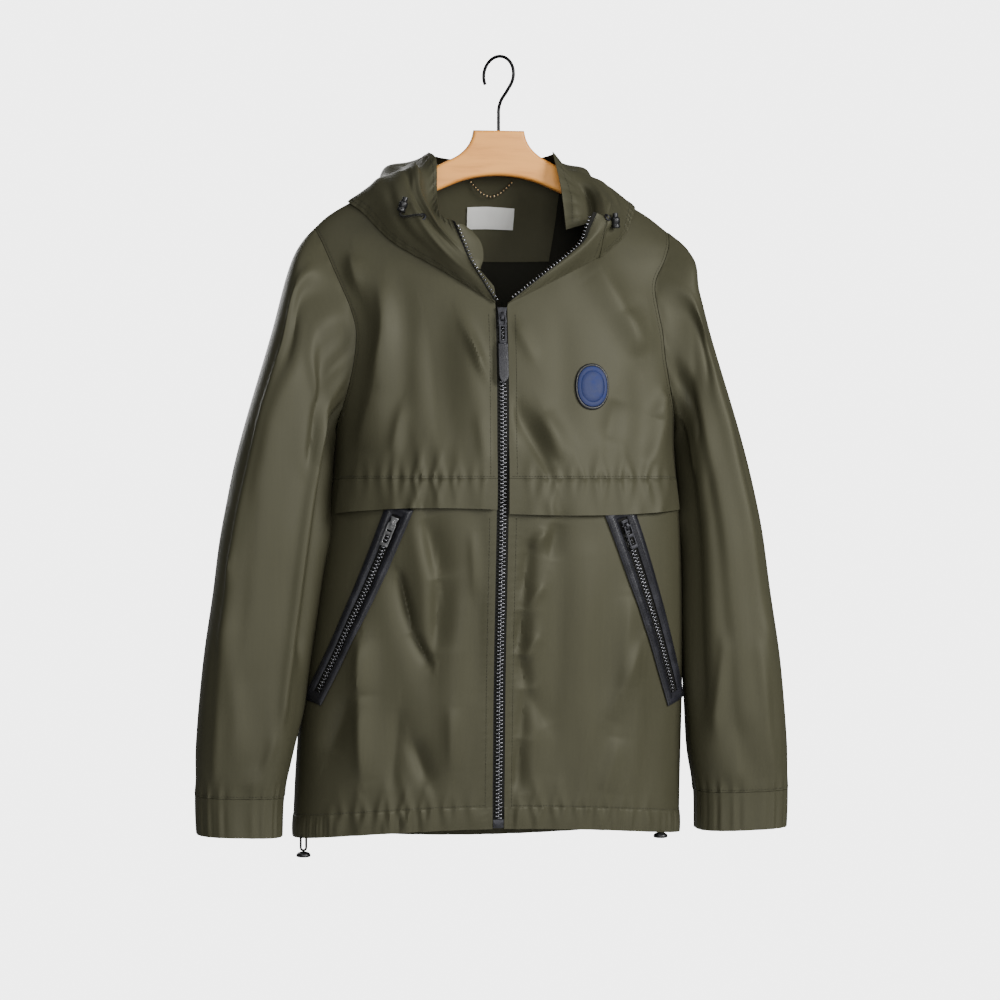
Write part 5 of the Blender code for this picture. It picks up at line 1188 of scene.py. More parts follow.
def plate(name, loops, half_thick, bevel, place, material, node, body="jacket"):
    """Flat plate with rounded edges from closed loops; the loops inside the first are holes."""
    data = bpy.data.curves.new(name, "CURVE")
    data.dimensions = "2D"
    data.fill_mode = "BOTH"
    data.extrude = half_thick - bevel
    data.bevel_depth = bevel
    data.bevel_resolution = 4
    data.offset = -bevel
    for loop in loops:
        line = data.splines.new("POLY")
        line.points.add(len(loop) - 1)
        line.use_cyclic_u = True
        for point, (x, y) in zip(line.points, loop):
            point.co = (x, y, 0.0, 1.0)
    outline = bpy.data.objects.new(name + "_outline", data)
    solid = bpy.data.meshes.new_from_object(outline)
    bpy.data.objects.remove(outline)
    bpy.data.curves.remove(data)
    solid.materials.clear()
    smooth_mesh(solid, SHARP, WELD)
    piece = bpy.data.objects.new(name, solid)
    piece.matrix_world = place
    return settle(piece, material, node, body)


def rounded(half_x, low_y, high_y, corner):
    """Rectangle with round corners, as a loop of points."""
    loop = []
    for x, y, first in ((half_x, high_y, 0.0), (-half_x, high_y, 90.0), (-half_x, low_y, 180.0),
                        (half_x, low_y, 270.0)):
        middle_x = x - math.copysign(corner, x)
        middle_y = y - corner if y == high_y else y + corner
        for step in range(CORNER_STEPS + 1):
            turn = math.radians(first + 90.0 * step / CORNER_STEPS)
            loop.append((middle_x + corner * math.cos(turn), middle_y + corner * math.sin(turn)))
    return loop


def smooth_place(x, down):
    """Place on the front of the solids, with the large folds alone."""
    x, down = np.asarray(float(x)), np.asarray(float(down))
    angle = angle_at(x, down)
    point, normal = torso(angle, down), torso_normal(angle, down)
    return point + normal * fold_height(FRONT_FOLDS, x, down) * fade(rooms(x, down, True), FOLD_FADE) + sway(point)


def surface_frame(x, down, towards):
    """Place on the front: local Y runs towards a second place, local Z stands off the cloth. The frame is the
    solids' own, without the cloth's small creases."""
    normal = torso_normal(angle_at(x, down), down)
    here = smooth_place(x, down)
    along = smooth_place(*towards) - here
    along = unit(along - normal * np.dot(along, normal))
    place = np.eye(4)
    place[:3, :3] = np.stack((np.cross(along, normal), along, normal), axis=-1)
    place[:3, 3] = garment(here)
    return Matrix(place.tolist())


def node_group(name, inputs, outputs):
    """Empty shader group with named values going in and coming out."""
    group = bpy.data.node_groups.new(name, "ShaderNodeTree")
    for label, default in inputs.items():
        socket = group.interface.new_socket(label, in_out="INPUT", socket_type="NodeSocketFloat")
        socket.default_value = default
    for label in outputs:
        group.interface.new_socket(label, in_out="OUTPUT", socket_type="NodeSocketFloat")
    return group, group.nodes.new("NodeGroupInput").outputs, group.nodes.new("NodeGroupOutput").inputs


def add(tree, kind, links=None, **values):
    """New node; words set its properties and, where they name an input, that input's value. Links go to inputs."""
    node = tree.nodes.new(kind)
    for label, value in values.items():
        if hasattr(node, label):
            setattr(node, label, value)
        else:
            node.inputs[label.replace("_", " ")].default_value = value
    for label, socket in (links or {}).items():
        tree.links.new(socket, node.inputs[label])
    return node


def math_node(tree, operation, first, second):
    """Math node of two links or numbers."""
    node = add(tree, "ShaderNodeMath", operation=operation)
    for socket, value in zip(node.inputs, (first, second)):
        if isinstance(value, (int, float)):
            socket.default_value = value
        else:
            tree.links.new(value, socket)
    return node.outputs[0]


def stretched(tree, scale):
    """Places on the object, stretched by a scale for each axis."""
    places = tree.nodes.new("ShaderNodeTexCoord").outputs["Object"]
    return add(tree, "ShaderNodeMapping", {"Vector": places}, Scale=scale).outputs["Vector"]


def noise(tree, scale, detail=3.0):
    """Soft noise on the object, stretched by a scale for each axis."""
    return add(tree, "ShaderNodeTexNoise", {"Vector": stretched(tree, scale)}, Scale=1.0, Detail=detail).outputs["Fac"]


def weave_group():
    """Plain weave: the height of the threads, and the uneven tone of the cloth."""
    group, given, result = node_group("Weave", {"Threads": 1400.0, "Streak": 0.5}, ("Height", "Tone"))
    places = group.nodes.new("ShaderNodeTexCoord").outputs["Object"]
    x, y, z = add(group, "ShaderNodeSeparateXYZ", {0: places}).outputs
    warp, weft = (math_node(group, "SINE", math_node(group, "MULTIPLY", way, given["Threads"]), 0.0)
                  for way in (math_node(group, "ADD", x, y), z))
    group.links.new(math_node(group, "MULTIPLY", warp, weft), result["Height"])
    slub = noise(group, (260.0, 260.0, 14.0), 2.0)
    cloud = noise(group, (9.0, 9.0, 6.0), 4.0)
    streak = math_node(group, "MULTIPLY", math_node(group, "SUBTRACT", slub, 0.5), given["Streak"])
    group.links.new(math_node(group, "ADD", cloud, streak), result["Tone"])
    return group


def grain_group():
    """Leather or moulded grain: the height of its cells and where it is rubbed."""
    group, given, result = node_group("Grain", {"Cells": 900.0, "Rub": 60.0}, ("Height", "Rubbed"))
    vector = stretched(group, (1.0, 1.0, 1.0))
    cells = add(group, "ShaderNodeTexVoronoi", {"Vector": vector, "Scale": given["Cells"]}, feature="SMOOTH_F1",
                Smoothness=0.6).outputs["Distance"]
    fine = add(group, "ShaderNodeTexNoise", {"Vector": vector, "Scale": given["Rub"]}, Detail=4.0).outputs["Fac"]
    rubbed = add(group, "ShaderNodeMapRange", {"Value": fine}, From_Min=0.48, From_Max=0.72)
    group.links.new(math_node(group, "ADD", cells, fine), result["Height"])
    group.links.new(rubbed.outputs["Result"], result["Rubbed"])
    return group


def timber_group():
    """Straight wood grain along X: its dark lines and the height of its pores."""
    group, given, result = node_group("Timber", {"Lines": 46.0}, ("Line", "Pore"))
    bands = add(group, "ShaderNodeTexWave", {"Vector": stretched(group, (0.16, 1.0, 1.0)), "Scale": given["Lines"]},
                Distortion=5.5, Detail=3.0, Detail_Scale=1.2, bands_direction="Z")
    pores = noise(group, (60.0, 900.0, 900.0), 2.0)
    group.links.new(math_node(group, "MULTIPLY", bands.outputs["Fac"], pores), result["Line"])
    group.links.new(pores, result["Pore"])
    return group


def new_material(name, colour, roughness, metallic=0.0, **sockets):
    """Tree and shader of a plain material; words set the shader's other sockets."""
    material = bpy.data.materials.new(LOOK + name)
    material.use_nodes = True
    material.diffuse_color = (*colour, 1.0)
    shader = material.node_tree.nodes["Principled BSDF"]
    sockets = {"Base_Color": (*colour, 1.0), "Roughness": roughness, "Metallic": metallic, **sockets}
    for label, value in sockets.items():
        shader.inputs[label.replace("_", " ")].default_value = value
    return material.node_tree, shader.inputs


def bump(tree, shader, height, distance):
    node = add(tree, "ShaderNodeBump", {"Height": height}, Distance=distance)
    tree.links.new(node.outputs["Normal"], shader["Normal"])


def blend(tree, shader, mask, first, last):
    """Base colour that goes from one colour to another with a mask."""
    node = add(tree, "ShaderNodeMix", {"Factor": mask}, data_type="RGBA")
    node.inputs[MIX_FIRST].default_value = (*first, 1.0)
    node.inputs[MIX_LAST].default_value = (*last, 1.0)
    tree.links.new(node.outputs[MIX_RESULT], shader["Base Color"])


def tint(tree, shader, mask, colour, low, high):
    """Base colour that goes from a darker to a lighter shade of one colour with a mask."""
    blend(tree, shader, mask, [low * value for value in colour], [min(1.0, high * value) for value in colour])


def vary(tree, socket, mask, low, high):
    """A socket that follows a mask between two values."""
    node = add(tree, "ShaderNodeMapRange", {"Value": mask}, To_Min=low, To_Max=high)
    tree.links.new(node.outputs["Result"], socket)


def make_materials():
    """Every material of the garment, the hanger and the floor."""
    shade = colours()
    weave, grain, timber = weave_group(), grain_group(), timber_group()
    # Roughness, threads, depth, sheen, darkest and lightest shade
    cloths = (
        ("nylon", shade.nylon, 0.56, 9000.0, 0.000005, 0.0, 0.86, 1.14),
        # The near-black cloth for the inside of the back is painted shade
        ("inside_shade", shade.inside_shade, 0.80, 5200.0, 0.00004, 0.0, 0.86, 1.14),
        ("label", shade.label, 0.75, 3600.0, 0.00008, 0.10, 0.92, 1.05),
        ("tape", shade.tape, 0.80, 3200.0, 0.00012, 0.10, 0.80, 1.30),
        ("cord", shade.cord, 0.85, 3000.0, 0.00030, 0.10, 0.60, 1.60),
        ("thread", shade.thread, 0.60, 5200.0, 0.00010, 0.10, 0.80, 1.25),
        ("black_thread", shade.tape, 0.65, 5200.0, 0.00010, 0.10, 0.90, 1.60),
    )
    for name, colour, roughness, threads, depth, sheen, low, high in cloths:
        tree, shader = new_material(name, colour, roughness, Sheen_Weight=sheen, Sheen_Roughness=0.35,
                                    Specular_IOR_Level=0.32, Specular_Tint=(1.0, 0.98, 0.82, 1.0))
        group = add(tree, "ShaderNodeGroup", node_tree=weave, Threads=threads).outputs
        tint(tree, shader, group["Tone"], colour, low, high)
        vary(tree, shader["Roughness"], group["Tone"], roughness - 0.05, roughness + 0.06)
        bump(tree, shader, group["Height"], depth)
    # Roughness, metal, cells, depth, rubbed patches and their shade
    grained = (
        ("leather", shade.leather, 0.35, 0.0, 950.0, 0.00016, 55.0, 1.9),
        ("plastic", shade.plastic, 0.36, 0.0, 2200.0, 0.00005, 120.0, 1.7),
        ("badge", shade.badge, 0.62, 0.0, 1300.0, 0.00010, 90.0, 1.5),
        ("gunmetal", shade.gunmetal, 0.46, 1.0, 2600.0, 0.00003, 160.0, 1.8),
        ("teeth", shade.teeth, 0.20, 1.0, 2600.0, 0.00002, 160.0, 1.3),
        ("steel", shade.steel, 0.28, 1.0, 2600.0, 0.00003, 160.0, 1.3),
        ("brass", shade.brass, 0.28, 1.0, 2600.0, 0.00002, 160.0, 1.2),
        ("wire", shade.wire, 0.32, 0.6, 1800.0, 0.00003, 120.0, 2.2),
    )
    for name, colour, roughness, metallic, cells, depth, rub, high in grained:
        tree, shader = new_material(name, colour, roughness, metallic)
        group = add(tree, "ShaderNodeGroup", node_tree=grain, Cells=cells, Rub=rub).outputs
        tint(tree, shader, group["Rubbed"], colour, 1.0, high)
        vary(tree, shader["Roughness"], group["Rubbed"], roughness, roughness + 0.12)
        bump(tree, shader, group["Height"], depth)
    tree, shader = new_material("wood", shade.wood, 0.52, Coat_Weight=0.06, Coat_Roughness=0.4)
    group = add(tree, "ShaderNodeGroup", node_tree=timber).outputs
    blend(tree, shader, group["Line"], shade.wood, shade.wood_dark)
    vary(tree, shader["Roughness"], group["Pore"], 0.40, 0.58)
    bump(tree, shader, group["Pore"], 0.00008)
    tree, shader = new_material("floor", shade.floor, 0.85)
    tint(tree, shader, noise(tree, (2.0, 2.0, 2.0)), shade.floor, 0.98, 1.02)


def studio_world():
    """Pale studio air: bright behind the garment, softer as light on it."""
    world = bpy.data.worlds.new("studio")
    world.use_nodes = True
    tree = world.node_tree
    soft = tree.nodes["Background"]
    soft.inputs["Color"].default_value = (0.96, 0.98, 1.0, 1.0)
    soft.inputs["Strength"].default_value = 0.09
    backdrop = add(tree, "ShaderNodeBackground", Color=(1.0, 1.0, 1.0, 1.0), Strength=4.5)
    seen = tree.nodes.new("ShaderNodeLightPath").outputs["Is Camera Ray"]
    both = add(tree, "ShaderNodeMixShader", {0: seen, 1: soft.outputs[0], 2: backdrop.outputs[0]})
    tree.links.new(both.outputs[0], tree.nodes["World Output"].inputs["Surface"])
    return world


class WINDBREAKER_OT_stage(bpy.types.Operator):
    """Camera of the photograph, soft studio light, a plain pale floor, and the materials"""
    bl_idname = "windbreaker.stage"
    bl_label = "Stage and materials"

    def execute(self, context):
        make_materials()
        scene = context.scene
        camera = bpy.data.objects.new("camera", bpy.data.cameras.new("camera"))
        scene.collection.objects.link(camera)
        camera.data.lens = CAMERA_LENS
        camera.data.sensor_width = CAMERA_SENSOR
        camera.data.shift_x = CAMERA_SHIFT
        camera.data.clip_end = CAMERA_REACH
        camera.rotation_euler = (math.pi / 2.0, 0.0, CAMERA_YAW)
        camera.location = (CAMERA_DISTANCE * math.sin(CAMERA_YAW), -CAMERA_DISTANCE * math.cos(CAMERA_YAW),
                           CAMERA_LEVEL)
        scene.camera = camera
        scene.world = studio_world()
        for name, place, size, power in LIGHTS:
            light = bpy.data.objects.new(name, bpy.data.lights.new(name, "AREA"))
            light.data.size = size
            light.data.energy = power
            light.location = place
            light.rotation_euler = (Vector(LIGHT_AIM) - light.location).to_track_quat("-Z", "Y").to_euler()
            scene.collection.objects.link(light)
        data = bpy.data.meshes.new("floor")
        turns = [math.tau * number / FLOOR_STEPS for number in range(FLOOR_STEPS)]
        rim = [(FLOOR_RADIUS * math.cos(turn), FLOOR_RADIUS * math.sin(turn), FLOOR_LEVEL) for turn in turns]
        data.from_pydata(rim, [], [tuple(range(FLOOR_STEPS))])
        floor = bpy.data.objects.new("floor", data)
        floor.data.materials.append(bpy.data.materials[LOOK + "floor"])
        scene.collection.objects.link(floor)
        return {"FINISHED"}


class WINDBREAKER_OT_cords(bpy.types.Operator):
    """Drawcord end on the hood's right front and drawcord loop at the hem, with all toggles and eyelets"""
    bl_idname = "windbreaker.cords"
    bl_label = "Drawcords, toggles and eyelets"

    def execute(self, context):
        guides = hood_guides()
        for side, (eye_u, eye_v, toggle_u, toggle_v, reach) in HOOD_FITTINGS.items():
            eye, normal = hood_lay(np.asarray(eye_u), np.asarray(eye_v), guides, 0.0, False)
            turned("hood_eyelet_" + side + "_ring", EYELET, eye + normal * EYELET_LIFT, normal, "gunmetal",
                   "hood_eyelet_" + side)
            low, out = hood_lay(np.asarray(toggle_u), np.asarray(toggle_v), guides, 0.0, False)
            axis = hood(toggle_u, toggle_v + reach, guides) - low
            axis = unit(axis - out * np.dot(axis, out))
            foot = low + out * TOGGLE_LIFT - axis * TOGGLE_BACK
            toggle = turned("hood_toggle_" + side + "_barrel", TOGGLE, foot, axis, "plastic", "hood_toggle_" + side)
            if side == "right":
                start, finish = eye + normal * CORD_START, foot - axis * SEAM_GAP
                share = spread(24)[:, None]
                keep = 1.0 - share
                route = (start * keep ** 3 + (start + normal * CORD_BEND) * 3.0 * share * keep ** 2
                         + (finish - axis * CORD_BEND) * 3.0 * keep * share ** 2 + finish * share ** 3)
                self.cord("hood", route, "fitting", toggle)
        for side, place in HEM_TOGGLE_PLACES.items():
            toggle = turned("hem_toggle_" + side + "_disc", HEM_TOGGLE, place, (0.0, 0.0, 1.0), "plastic",
                            "hem_toggle_" + side)
            if side == "right":
                x, y, z = place
                middle = z + HEM_TOGGLE[-1][1] + sizes().cord / 2.0 + SEAM_GAP + HEM_LOOP_HALF
                legs = [mix(-HEM_LOOP_TOP, middle, step / 8) for step in range(8)]
                turns = [math.pi * step / 12 for step in range(13)]
                bend = [(x - HEM_LOOP_HALF * math.cos(turn), y, middle - HEM_LOOP_HALF * math.sin(turn))
                        for turn in turns]
                route = ([(x - HEM_LOOP_HALF, y, level) for level in legs] + bend
                         + [(x + HEM_LOOP_HALF, y, level) for level in reversed(legs)])
                self.cord("hem", route, "object", toggle)
        return {"FINISHED"}

    def cord(self, place, route, far_end, toggle):
        """Drawcord of the right side along a route of the garment."""
        route, diameter = garment(route), sizes().cord
        cord = tube(place + "_drawcord_right", route, diameter / 2.0, "cord", place + "_cord_right")


class WINDBREAKER_OT_yokes(bpy.types.Operator):
    """Front yokes and the gathered flaps that hang below their seam"""
    bl_idname = "windbreaker.yokes"
    bl_label = "Yokes and flaps"

    def execute(self, context):
        share = spread(96)
        turn = ARM_ROWS / YOKE_ROWS
        steps = np.concatenate((turn * spread(60)[:-1], mix(turn, 1.0, spread(16))))
        for name, side in SIDES.items():
            angle, down = rows_of([yoke_row(float(t), share, side) for t in steps])
            panel("yoke_" + name, *lay(side * angle, down, flap_stand(angle, down)), "hung", "hanger_wood")
            place, fall = np.meshgrid(spread(150), spread(14))
            turned_to = mix(float(angle_at(ZIP_HALF, YOKE_SEAM)), FLAP_END_ANGLE, place)
            edge = FLAP_EDGE + 0.004 * np.sin(math.pi * (0.2 + place)) * side
            level = mix(YOKE_SEAM + SEAM_GAP, edge, fall)
            x = half_width(level) * np.sin(np.radians(turned_to)) * side
            fine = gather_height(YOKE_GATHERS, x, 0.030 * fall) * ease(fall / 0.05)
            wave = gather_height(FLAP_FOLDS, x, 0.036 * (1.0 - fall)) * (0.15 + 0.85 * fall)
            lift = flap_stand(turned_to, YOKE_SEAM) + 0.0008 + 0.0014 * fall + wave + 1.2 * fine
            panel("yoke_flap_" + name, *lay(side * turned_to, level, lift), "gathered", "yoke_" + name + "_cloth")
        return {"FINISHED"}


class WINDBREAKER_OT_body(bpy.types.Operator):
    """Lower fronts, back and the gathered hem casing"""
    bl_idname = "windbreaker.body"
    bl_label = "Fronts, back and hem"

    def execute(self, context):
        for name, side in SIDES.items():
            share, fall = np.meshgrid(spread(120), spread(150))
            first = angle_at(np.full(share.shape, ZIP_HALF), mix(YOKE_SEAM, FRONT_HEM, fall))
            angle = mix(first, 90.0, share)
            down = mix(YOKE_SEAM + SEAM_GAP, hem_level(angle, HEM_HEIGHT), fall)
            panel("front_" + name, *lay(side * angle, down), "hung", "yoke_" + name + "_cloth")
        steps = sorted([*spread(8)[:-1], BACK_EXTRA_ROW])
        steps += [*np.linspace(1.0, ARM_ROWS, 55)[:-1], *np.linspace(ARM_ROWS, BACK_ROWS, 62)]
        outside, normal = back_grid(steps, spread(64), 0.0)
        piece = panel("back", outside, normal, "hung", "hanger_wood")
        # The inside faces of the back get the near-black colour: painted shade inside the garment
        piece.data.materials.append(bpy.data.materials[LOOK + "inside_shade"])
        panes = (outside.shape[0] - 1) * (outside.shape[1] - 1)
        for pane in range(panes, 2 * panes):
            piece.data.polygons[pane].material_index = 1
        first = float(angle_at(ZIP_HALF, FRONT_HEM))
        # Hem casings: angle at each end, waves, their height and phase, columns
        hems = (("hem_front_left", first, 90.0, 10, 0.0009, 0.4, 150),
                ("hem_front_right", -first, -90.0, 10, 0.0009, 1.9, 150),
                ("hem_back", 90.0001, 269.9999, 18, 0.0011, 0.0, 260))
        for name, start, end, count, height, phase, columns in hems:
            share, rise = np.meshgrid(spread(columns), np.concatenate(([CASING_TUCK], spread(12))))
            angle = mix(start, end, share)
            puff = 0.3 + 0.7 * np.sin(math.pi * np.clip(rise * 0.9, 0.0, 1.0)) ** 0.8
            turns = count * share + 0.42 * np.sin(math.tau * 2.3 * share + phase)
            wave = (0.75 + 0.25 * np.sin(math.tau * 1.7 * share + 1.0 + phase)) * np.cos(math.tau * turns + phase)
            fine = 0.45 * np.sin(math.tau * turns * 2.6 + 2.0 * np.sin(math.tau * 3.1 * share) + phase)
            edge = np.minimum(np.minimum(np.abs(angle - 90.0), np.abs(angle + 90.0)), np.abs(angle - 270.0))
            wave = (wave + fine) * height * puff * ease(edge / 20.0)
            down = hem_level(wrapped(angle), (HEM_HEIGHT - SEAM_GAP) * (1.0 - rise))
            outside, normal = lay(angle, down, np.where(rise < 0.0, CASING_SINK, wave + 0.0012 * puff))
            panel(name, outside, normal, "gathered", "back_cloth", CASING_THICK, ending="_casing")
        return {"FINISHED"}


class WINDBREAKER_OT_sleeves(bpy.types.Operator):
    """Sleeves and their gathered cuffs"""
    bl_idname = "windbreaker.sleeves"
    bl_label = "Sleeves and cuffs"

    def execute(self, context):
        for side in SIDES:
            angle, ring = np.meshgrid(np.arange(0.0, 360.0, 3.0), (CUFF_SEAM - CUFF_GAP) * spread(120))
            gathers = cuff_wave(angle, side) * SLEEVE_GATHERS * ease((ring - 7.45) / 0.5) ** 2
            panel("sleeve_" + side, *sleeve_on(angle, ring, gathers, side), "hung", "yoke_" + side + "_cloth",
                  closed=True)
            angle, ring = np.meshgrid(np.arange(0.0, 360.0, 1.8), mix(CUFF_SEAM + CUFF_GAP, CUFF_END, spread(14)))
            puff = 0.45 + 0.55 * np.sin(math.pi * np.clip((ring - CUFF_SEAM) * 0.85, 0.0, 1.0))
            gathers = cuff_wave(angle, side) * CUFF_GATHERS * puff + 0.0004
            panel("cuff_" + side, *sleeve_on(angle, ring, gathers, side), "gathered", "sleeve_" + side + "_cloth",
                  CASING_THICK, closed=True)
        return {"FINISHED"}


class WINDBREAKER_OT_hood(bpy.types.Operator):
    """Hood thrown back in its three panels, the collar's left front and the chin guard"""
    bl_idname = "windbreaker.hood"
    bl_label = "Hood and collar"

    def execute(self, context):
        guides = hood_guides()
        spans = (("hood_right", 0.0, HOOD_SEAM_RIGHT - HOOD_SEAM_GAP, 120),
                 ("hood_middle", HOOD_SEAM_RIGHT + HOOD_SEAM_GAP, HOOD_SEAM_LEFT - HOOD_SEAM_GAP, 48),
                 ("hood_left", HOOD_SEAM_LEFT + HOOD_SEAM_GAP, HOOD_LAST, 104))
        for name, first, last, columns in spans:
            u, v = np.meshgrid(mix(first, last, spread(columns)), spread(72))
            panel(name, *hood_lay(u, v, guides), "folded", "back_cloth")
        share, v = np.meshgrid(spread(44), spread(72))
        outside, normal = collar_lay(share, v, guides)
        height = pucker((v - 0.07) * 0.10, share * 0.09, 0.006, 0.0003, 0.012) * ease(v / 0.03)
        panel("collar_left", outside + normal * height[..., None], normal, "folded", "yoke_left_cloth")
        place, share = np.meshgrid(spread(40), spread(24))
        start = zip_end("right", mix(*CHIN_GUARD_SPAN, place), 0.001, -0.0019, guides)[0]
        width = CHIN_GUARD_WIDTH * np.sin(math.pi * (0.05 + 0.85 * place ** 1.4)) ** 0.7
        bulge = 0.0012 * np.sin(math.pi * share)
        outside = start + CHIN_GUARD_INWARD * (width * share)[..., None] + CHIN_GUARD_FACING * bulge[..., None]
        panel("chin_guard", outside, np.broadcast_to(CHIN_GUARD_FACING, outside.shape), "hung", "hood_right_cloth",
              CHIN_GUARD_THICK)
        return {"FINISHED"}


class WINDBREAKER_OT_neck(bpy.types.Operator):
    """Facing behind the neck, the bare label and the bead chain that hangs the garment up"""
    bl_idname = "windbreaker.neck"
    bl_label = "Neck facing, label and hang loop"

    def execute(self, context):
        steps = sorted([*np.linspace(0.0, FACING_LAST_ROW, 24), BACK_EXTRA_ROW])
        panel("neck_facing", *back_grid(steps, spread(30) / 3.0, -FACING_DEPTH), "hung", "back_cloth")
        across = mix(*LABEL_ACROSS, spread(36)) / 9.0
        angles, levels = rows_of([back_row(float(step), np.abs(across)) for step in mix(*LABEL_DOWN, spread(18))])
        outside, normal = lay(np.copysign(angles, across), levels, -LABEL_DEPTH)
        rim = np.minimum.outer(np.minimum(spread(18), spread(18)[::-1]) * 18.0,
                               np.minimum(spread(36), spread(36)[::-1]) * 36.0)
        outside = outside - normal * (0.0004 * ease(rim / 3.0))[..., None]
        panel("label", outside, normal, "hung", "neck_facing_cloth", LABEL_THICK, material="label")
        share = spread(120)
        sag = np.sin(math.pi * share)
        line, facing = lay_at(mix(*LOOP_ENDS, share) + 0.0001, LOOP_TOP + LOOP_SAG * sag,
                              -(LOOP_STAND + 0.004 * sag), back=True)
        tube("hang_loop_wire", garment(line), LOOP_WIRE, "gunmetal")
        place, facing = resample(line, facing, run_of(line)[-1] / sizes().beads * 0.999)
        rings = []
        for turn in (math.pi * number / 8 for number in range(1, 8)):
            radius, height = sizes().bead * math.sin(turn), -sizes().bead * math.cos(turn)
            rings.append([(radius * math.cos(math.tau * n / 10), height, radius * math.sin(math.tau * n / 10))
                          for n in range(10)])
        verts, faces = repeat(*stack(rings), *along_frames(place, facing))
        mesh_piece("hang_loop_beads", garment(verts), faces, "brass", "hang_loop", math.pi)
        return {"FINISHED"}


def tooth_shape(reach, side, pitch):
    """One zip tooth: a foot on its tape and a round nose past the middle, with softened edges."""
    half, middle = pitch * 0.26, -0.45 * reach
    outline = ((-1.0, -0.8), (-0.35, -1.0), (0.02, -0.62), (0.16, -0.82), (0.30, -0.45), (0.30, 0.45),
               (0.16, 0.82), (0.02, 0.62), (-0.35, 1.0), (-1.0, 0.8))
    levels = ((0.86, -0.0012), (1.0, -0.0009), (1.0, 0.0004), (0.86, 0.0009), (0.56, 0.0013), (0.2, 0.0015))
    return stack([[(side * mix(middle, x * reach, shrink), y * half * shrink, z) for x, y in outline]
                  for shrink, z in levels])


def teeth(name, line, facing, half, node=None, sides=(-1.0, 1.0)):
    """Two rows of teeth that lock in the middle of a line, or one row on it."""
    pitch = sizes().tooth_pitch
    origins, axes = along_frames(*resample(line, facing, pitch / 2.0))
    verts, faces = [], []
    for number, side in enumerate(sides):
        some, corners = repeat(*tooth_shape(half, side, pitch), origins[number::2], axes[number::2])
        faces += [tuple(corner + len(verts) for corner in face) for face in corners]
        verts += some.tolist()
    mesh_piece(name, garment(verts), faces, "teeth", node)


def slider(name, size, place, material):
    """Slider: shaped plate with two side lips, and the bridge that the pull turns in."""
    width, length, thick, bridge_width, bridge_length, bridge_height, lift = size
    half, end = width / 2.0, length / 2.0
    shape = []
    for share in spread(12).tolist():
        waist = math.cos(math.pi * min(1.0, share * 1.25)) ** 2 if share < 0.8 else (share - 0.8) / 0.2
        shape.append((half * (0.80 + 0.20 * waist), mix(-end, end, share)))
    loop = shape + [(-x, y) for x, y in reversed(shape)]
    plate(name + "_slider_body", [loop], thick / 2.0, SLIDER_BEVEL,
          place @ Matrix.Translation((0.0, 0.0, lift - thick / 2.0)), material, name + "_slider")
    long, top, leg, roof = bridge_length / 2.0, bridge_height, BRIDGE_LEG, BRIDGE_ROOF
    arch = [(-long, 0.0), (-long, top - 0.0016), (0.0005 - long, top - 0.0006), (0.0016 - long, top),
            (long - 0.0016, top), (long - 0.0005, top - 0.0006), (long, top - 0.0016), (long, 0.0),
            (long - leg, 0.0), (long - leg, top - roof), (leg - long, top - roof), (leg - long, 0.0)]
    upright = Matrix(((0.0, 0.0, 1.0, 0.0), (1.0, 0.0, 0.0, 0.0), (0.0, 1.0, 0.0, 0.0), (0.0, 0.0, 0.0, 1.0)))
    plate(name + "_bridge_arch", [arch], bridge_width / 2.0, BRIDGE_BEVEL,
          place @ Matrix.Translation((0.0, 0.0, lift + SEAM_GAP)) @ upright, material, name + "_bridge")


def pull(name, node, size, slider_size, place, material, body):
    """Flat pull whose top bar lies in the bridge."""
    width, length, thick, bar, eye_length, window_top, window_length = size
    bridge_height, lift = slider_size[5:]
    half, edge = width / 2.0, bar / 2.0
    eye = rounded(half - 0.0016, edge, edge + eye_length, 0.0012)
    window = rounded(half - 0.0022, window_top, window_top + window_length, 0.0010)
    place = place @ Matrix.Translation((0.0, 0.0, lift + SEAM_GAP + (bridge_height - BRIDGE_ROOF) / 2.0))
    plate(name, [rounded(half, -edge, length, 0.0014), eye, window], thick / 2.0, PULL_BEVEL, place, material, node,
          body)
    return place


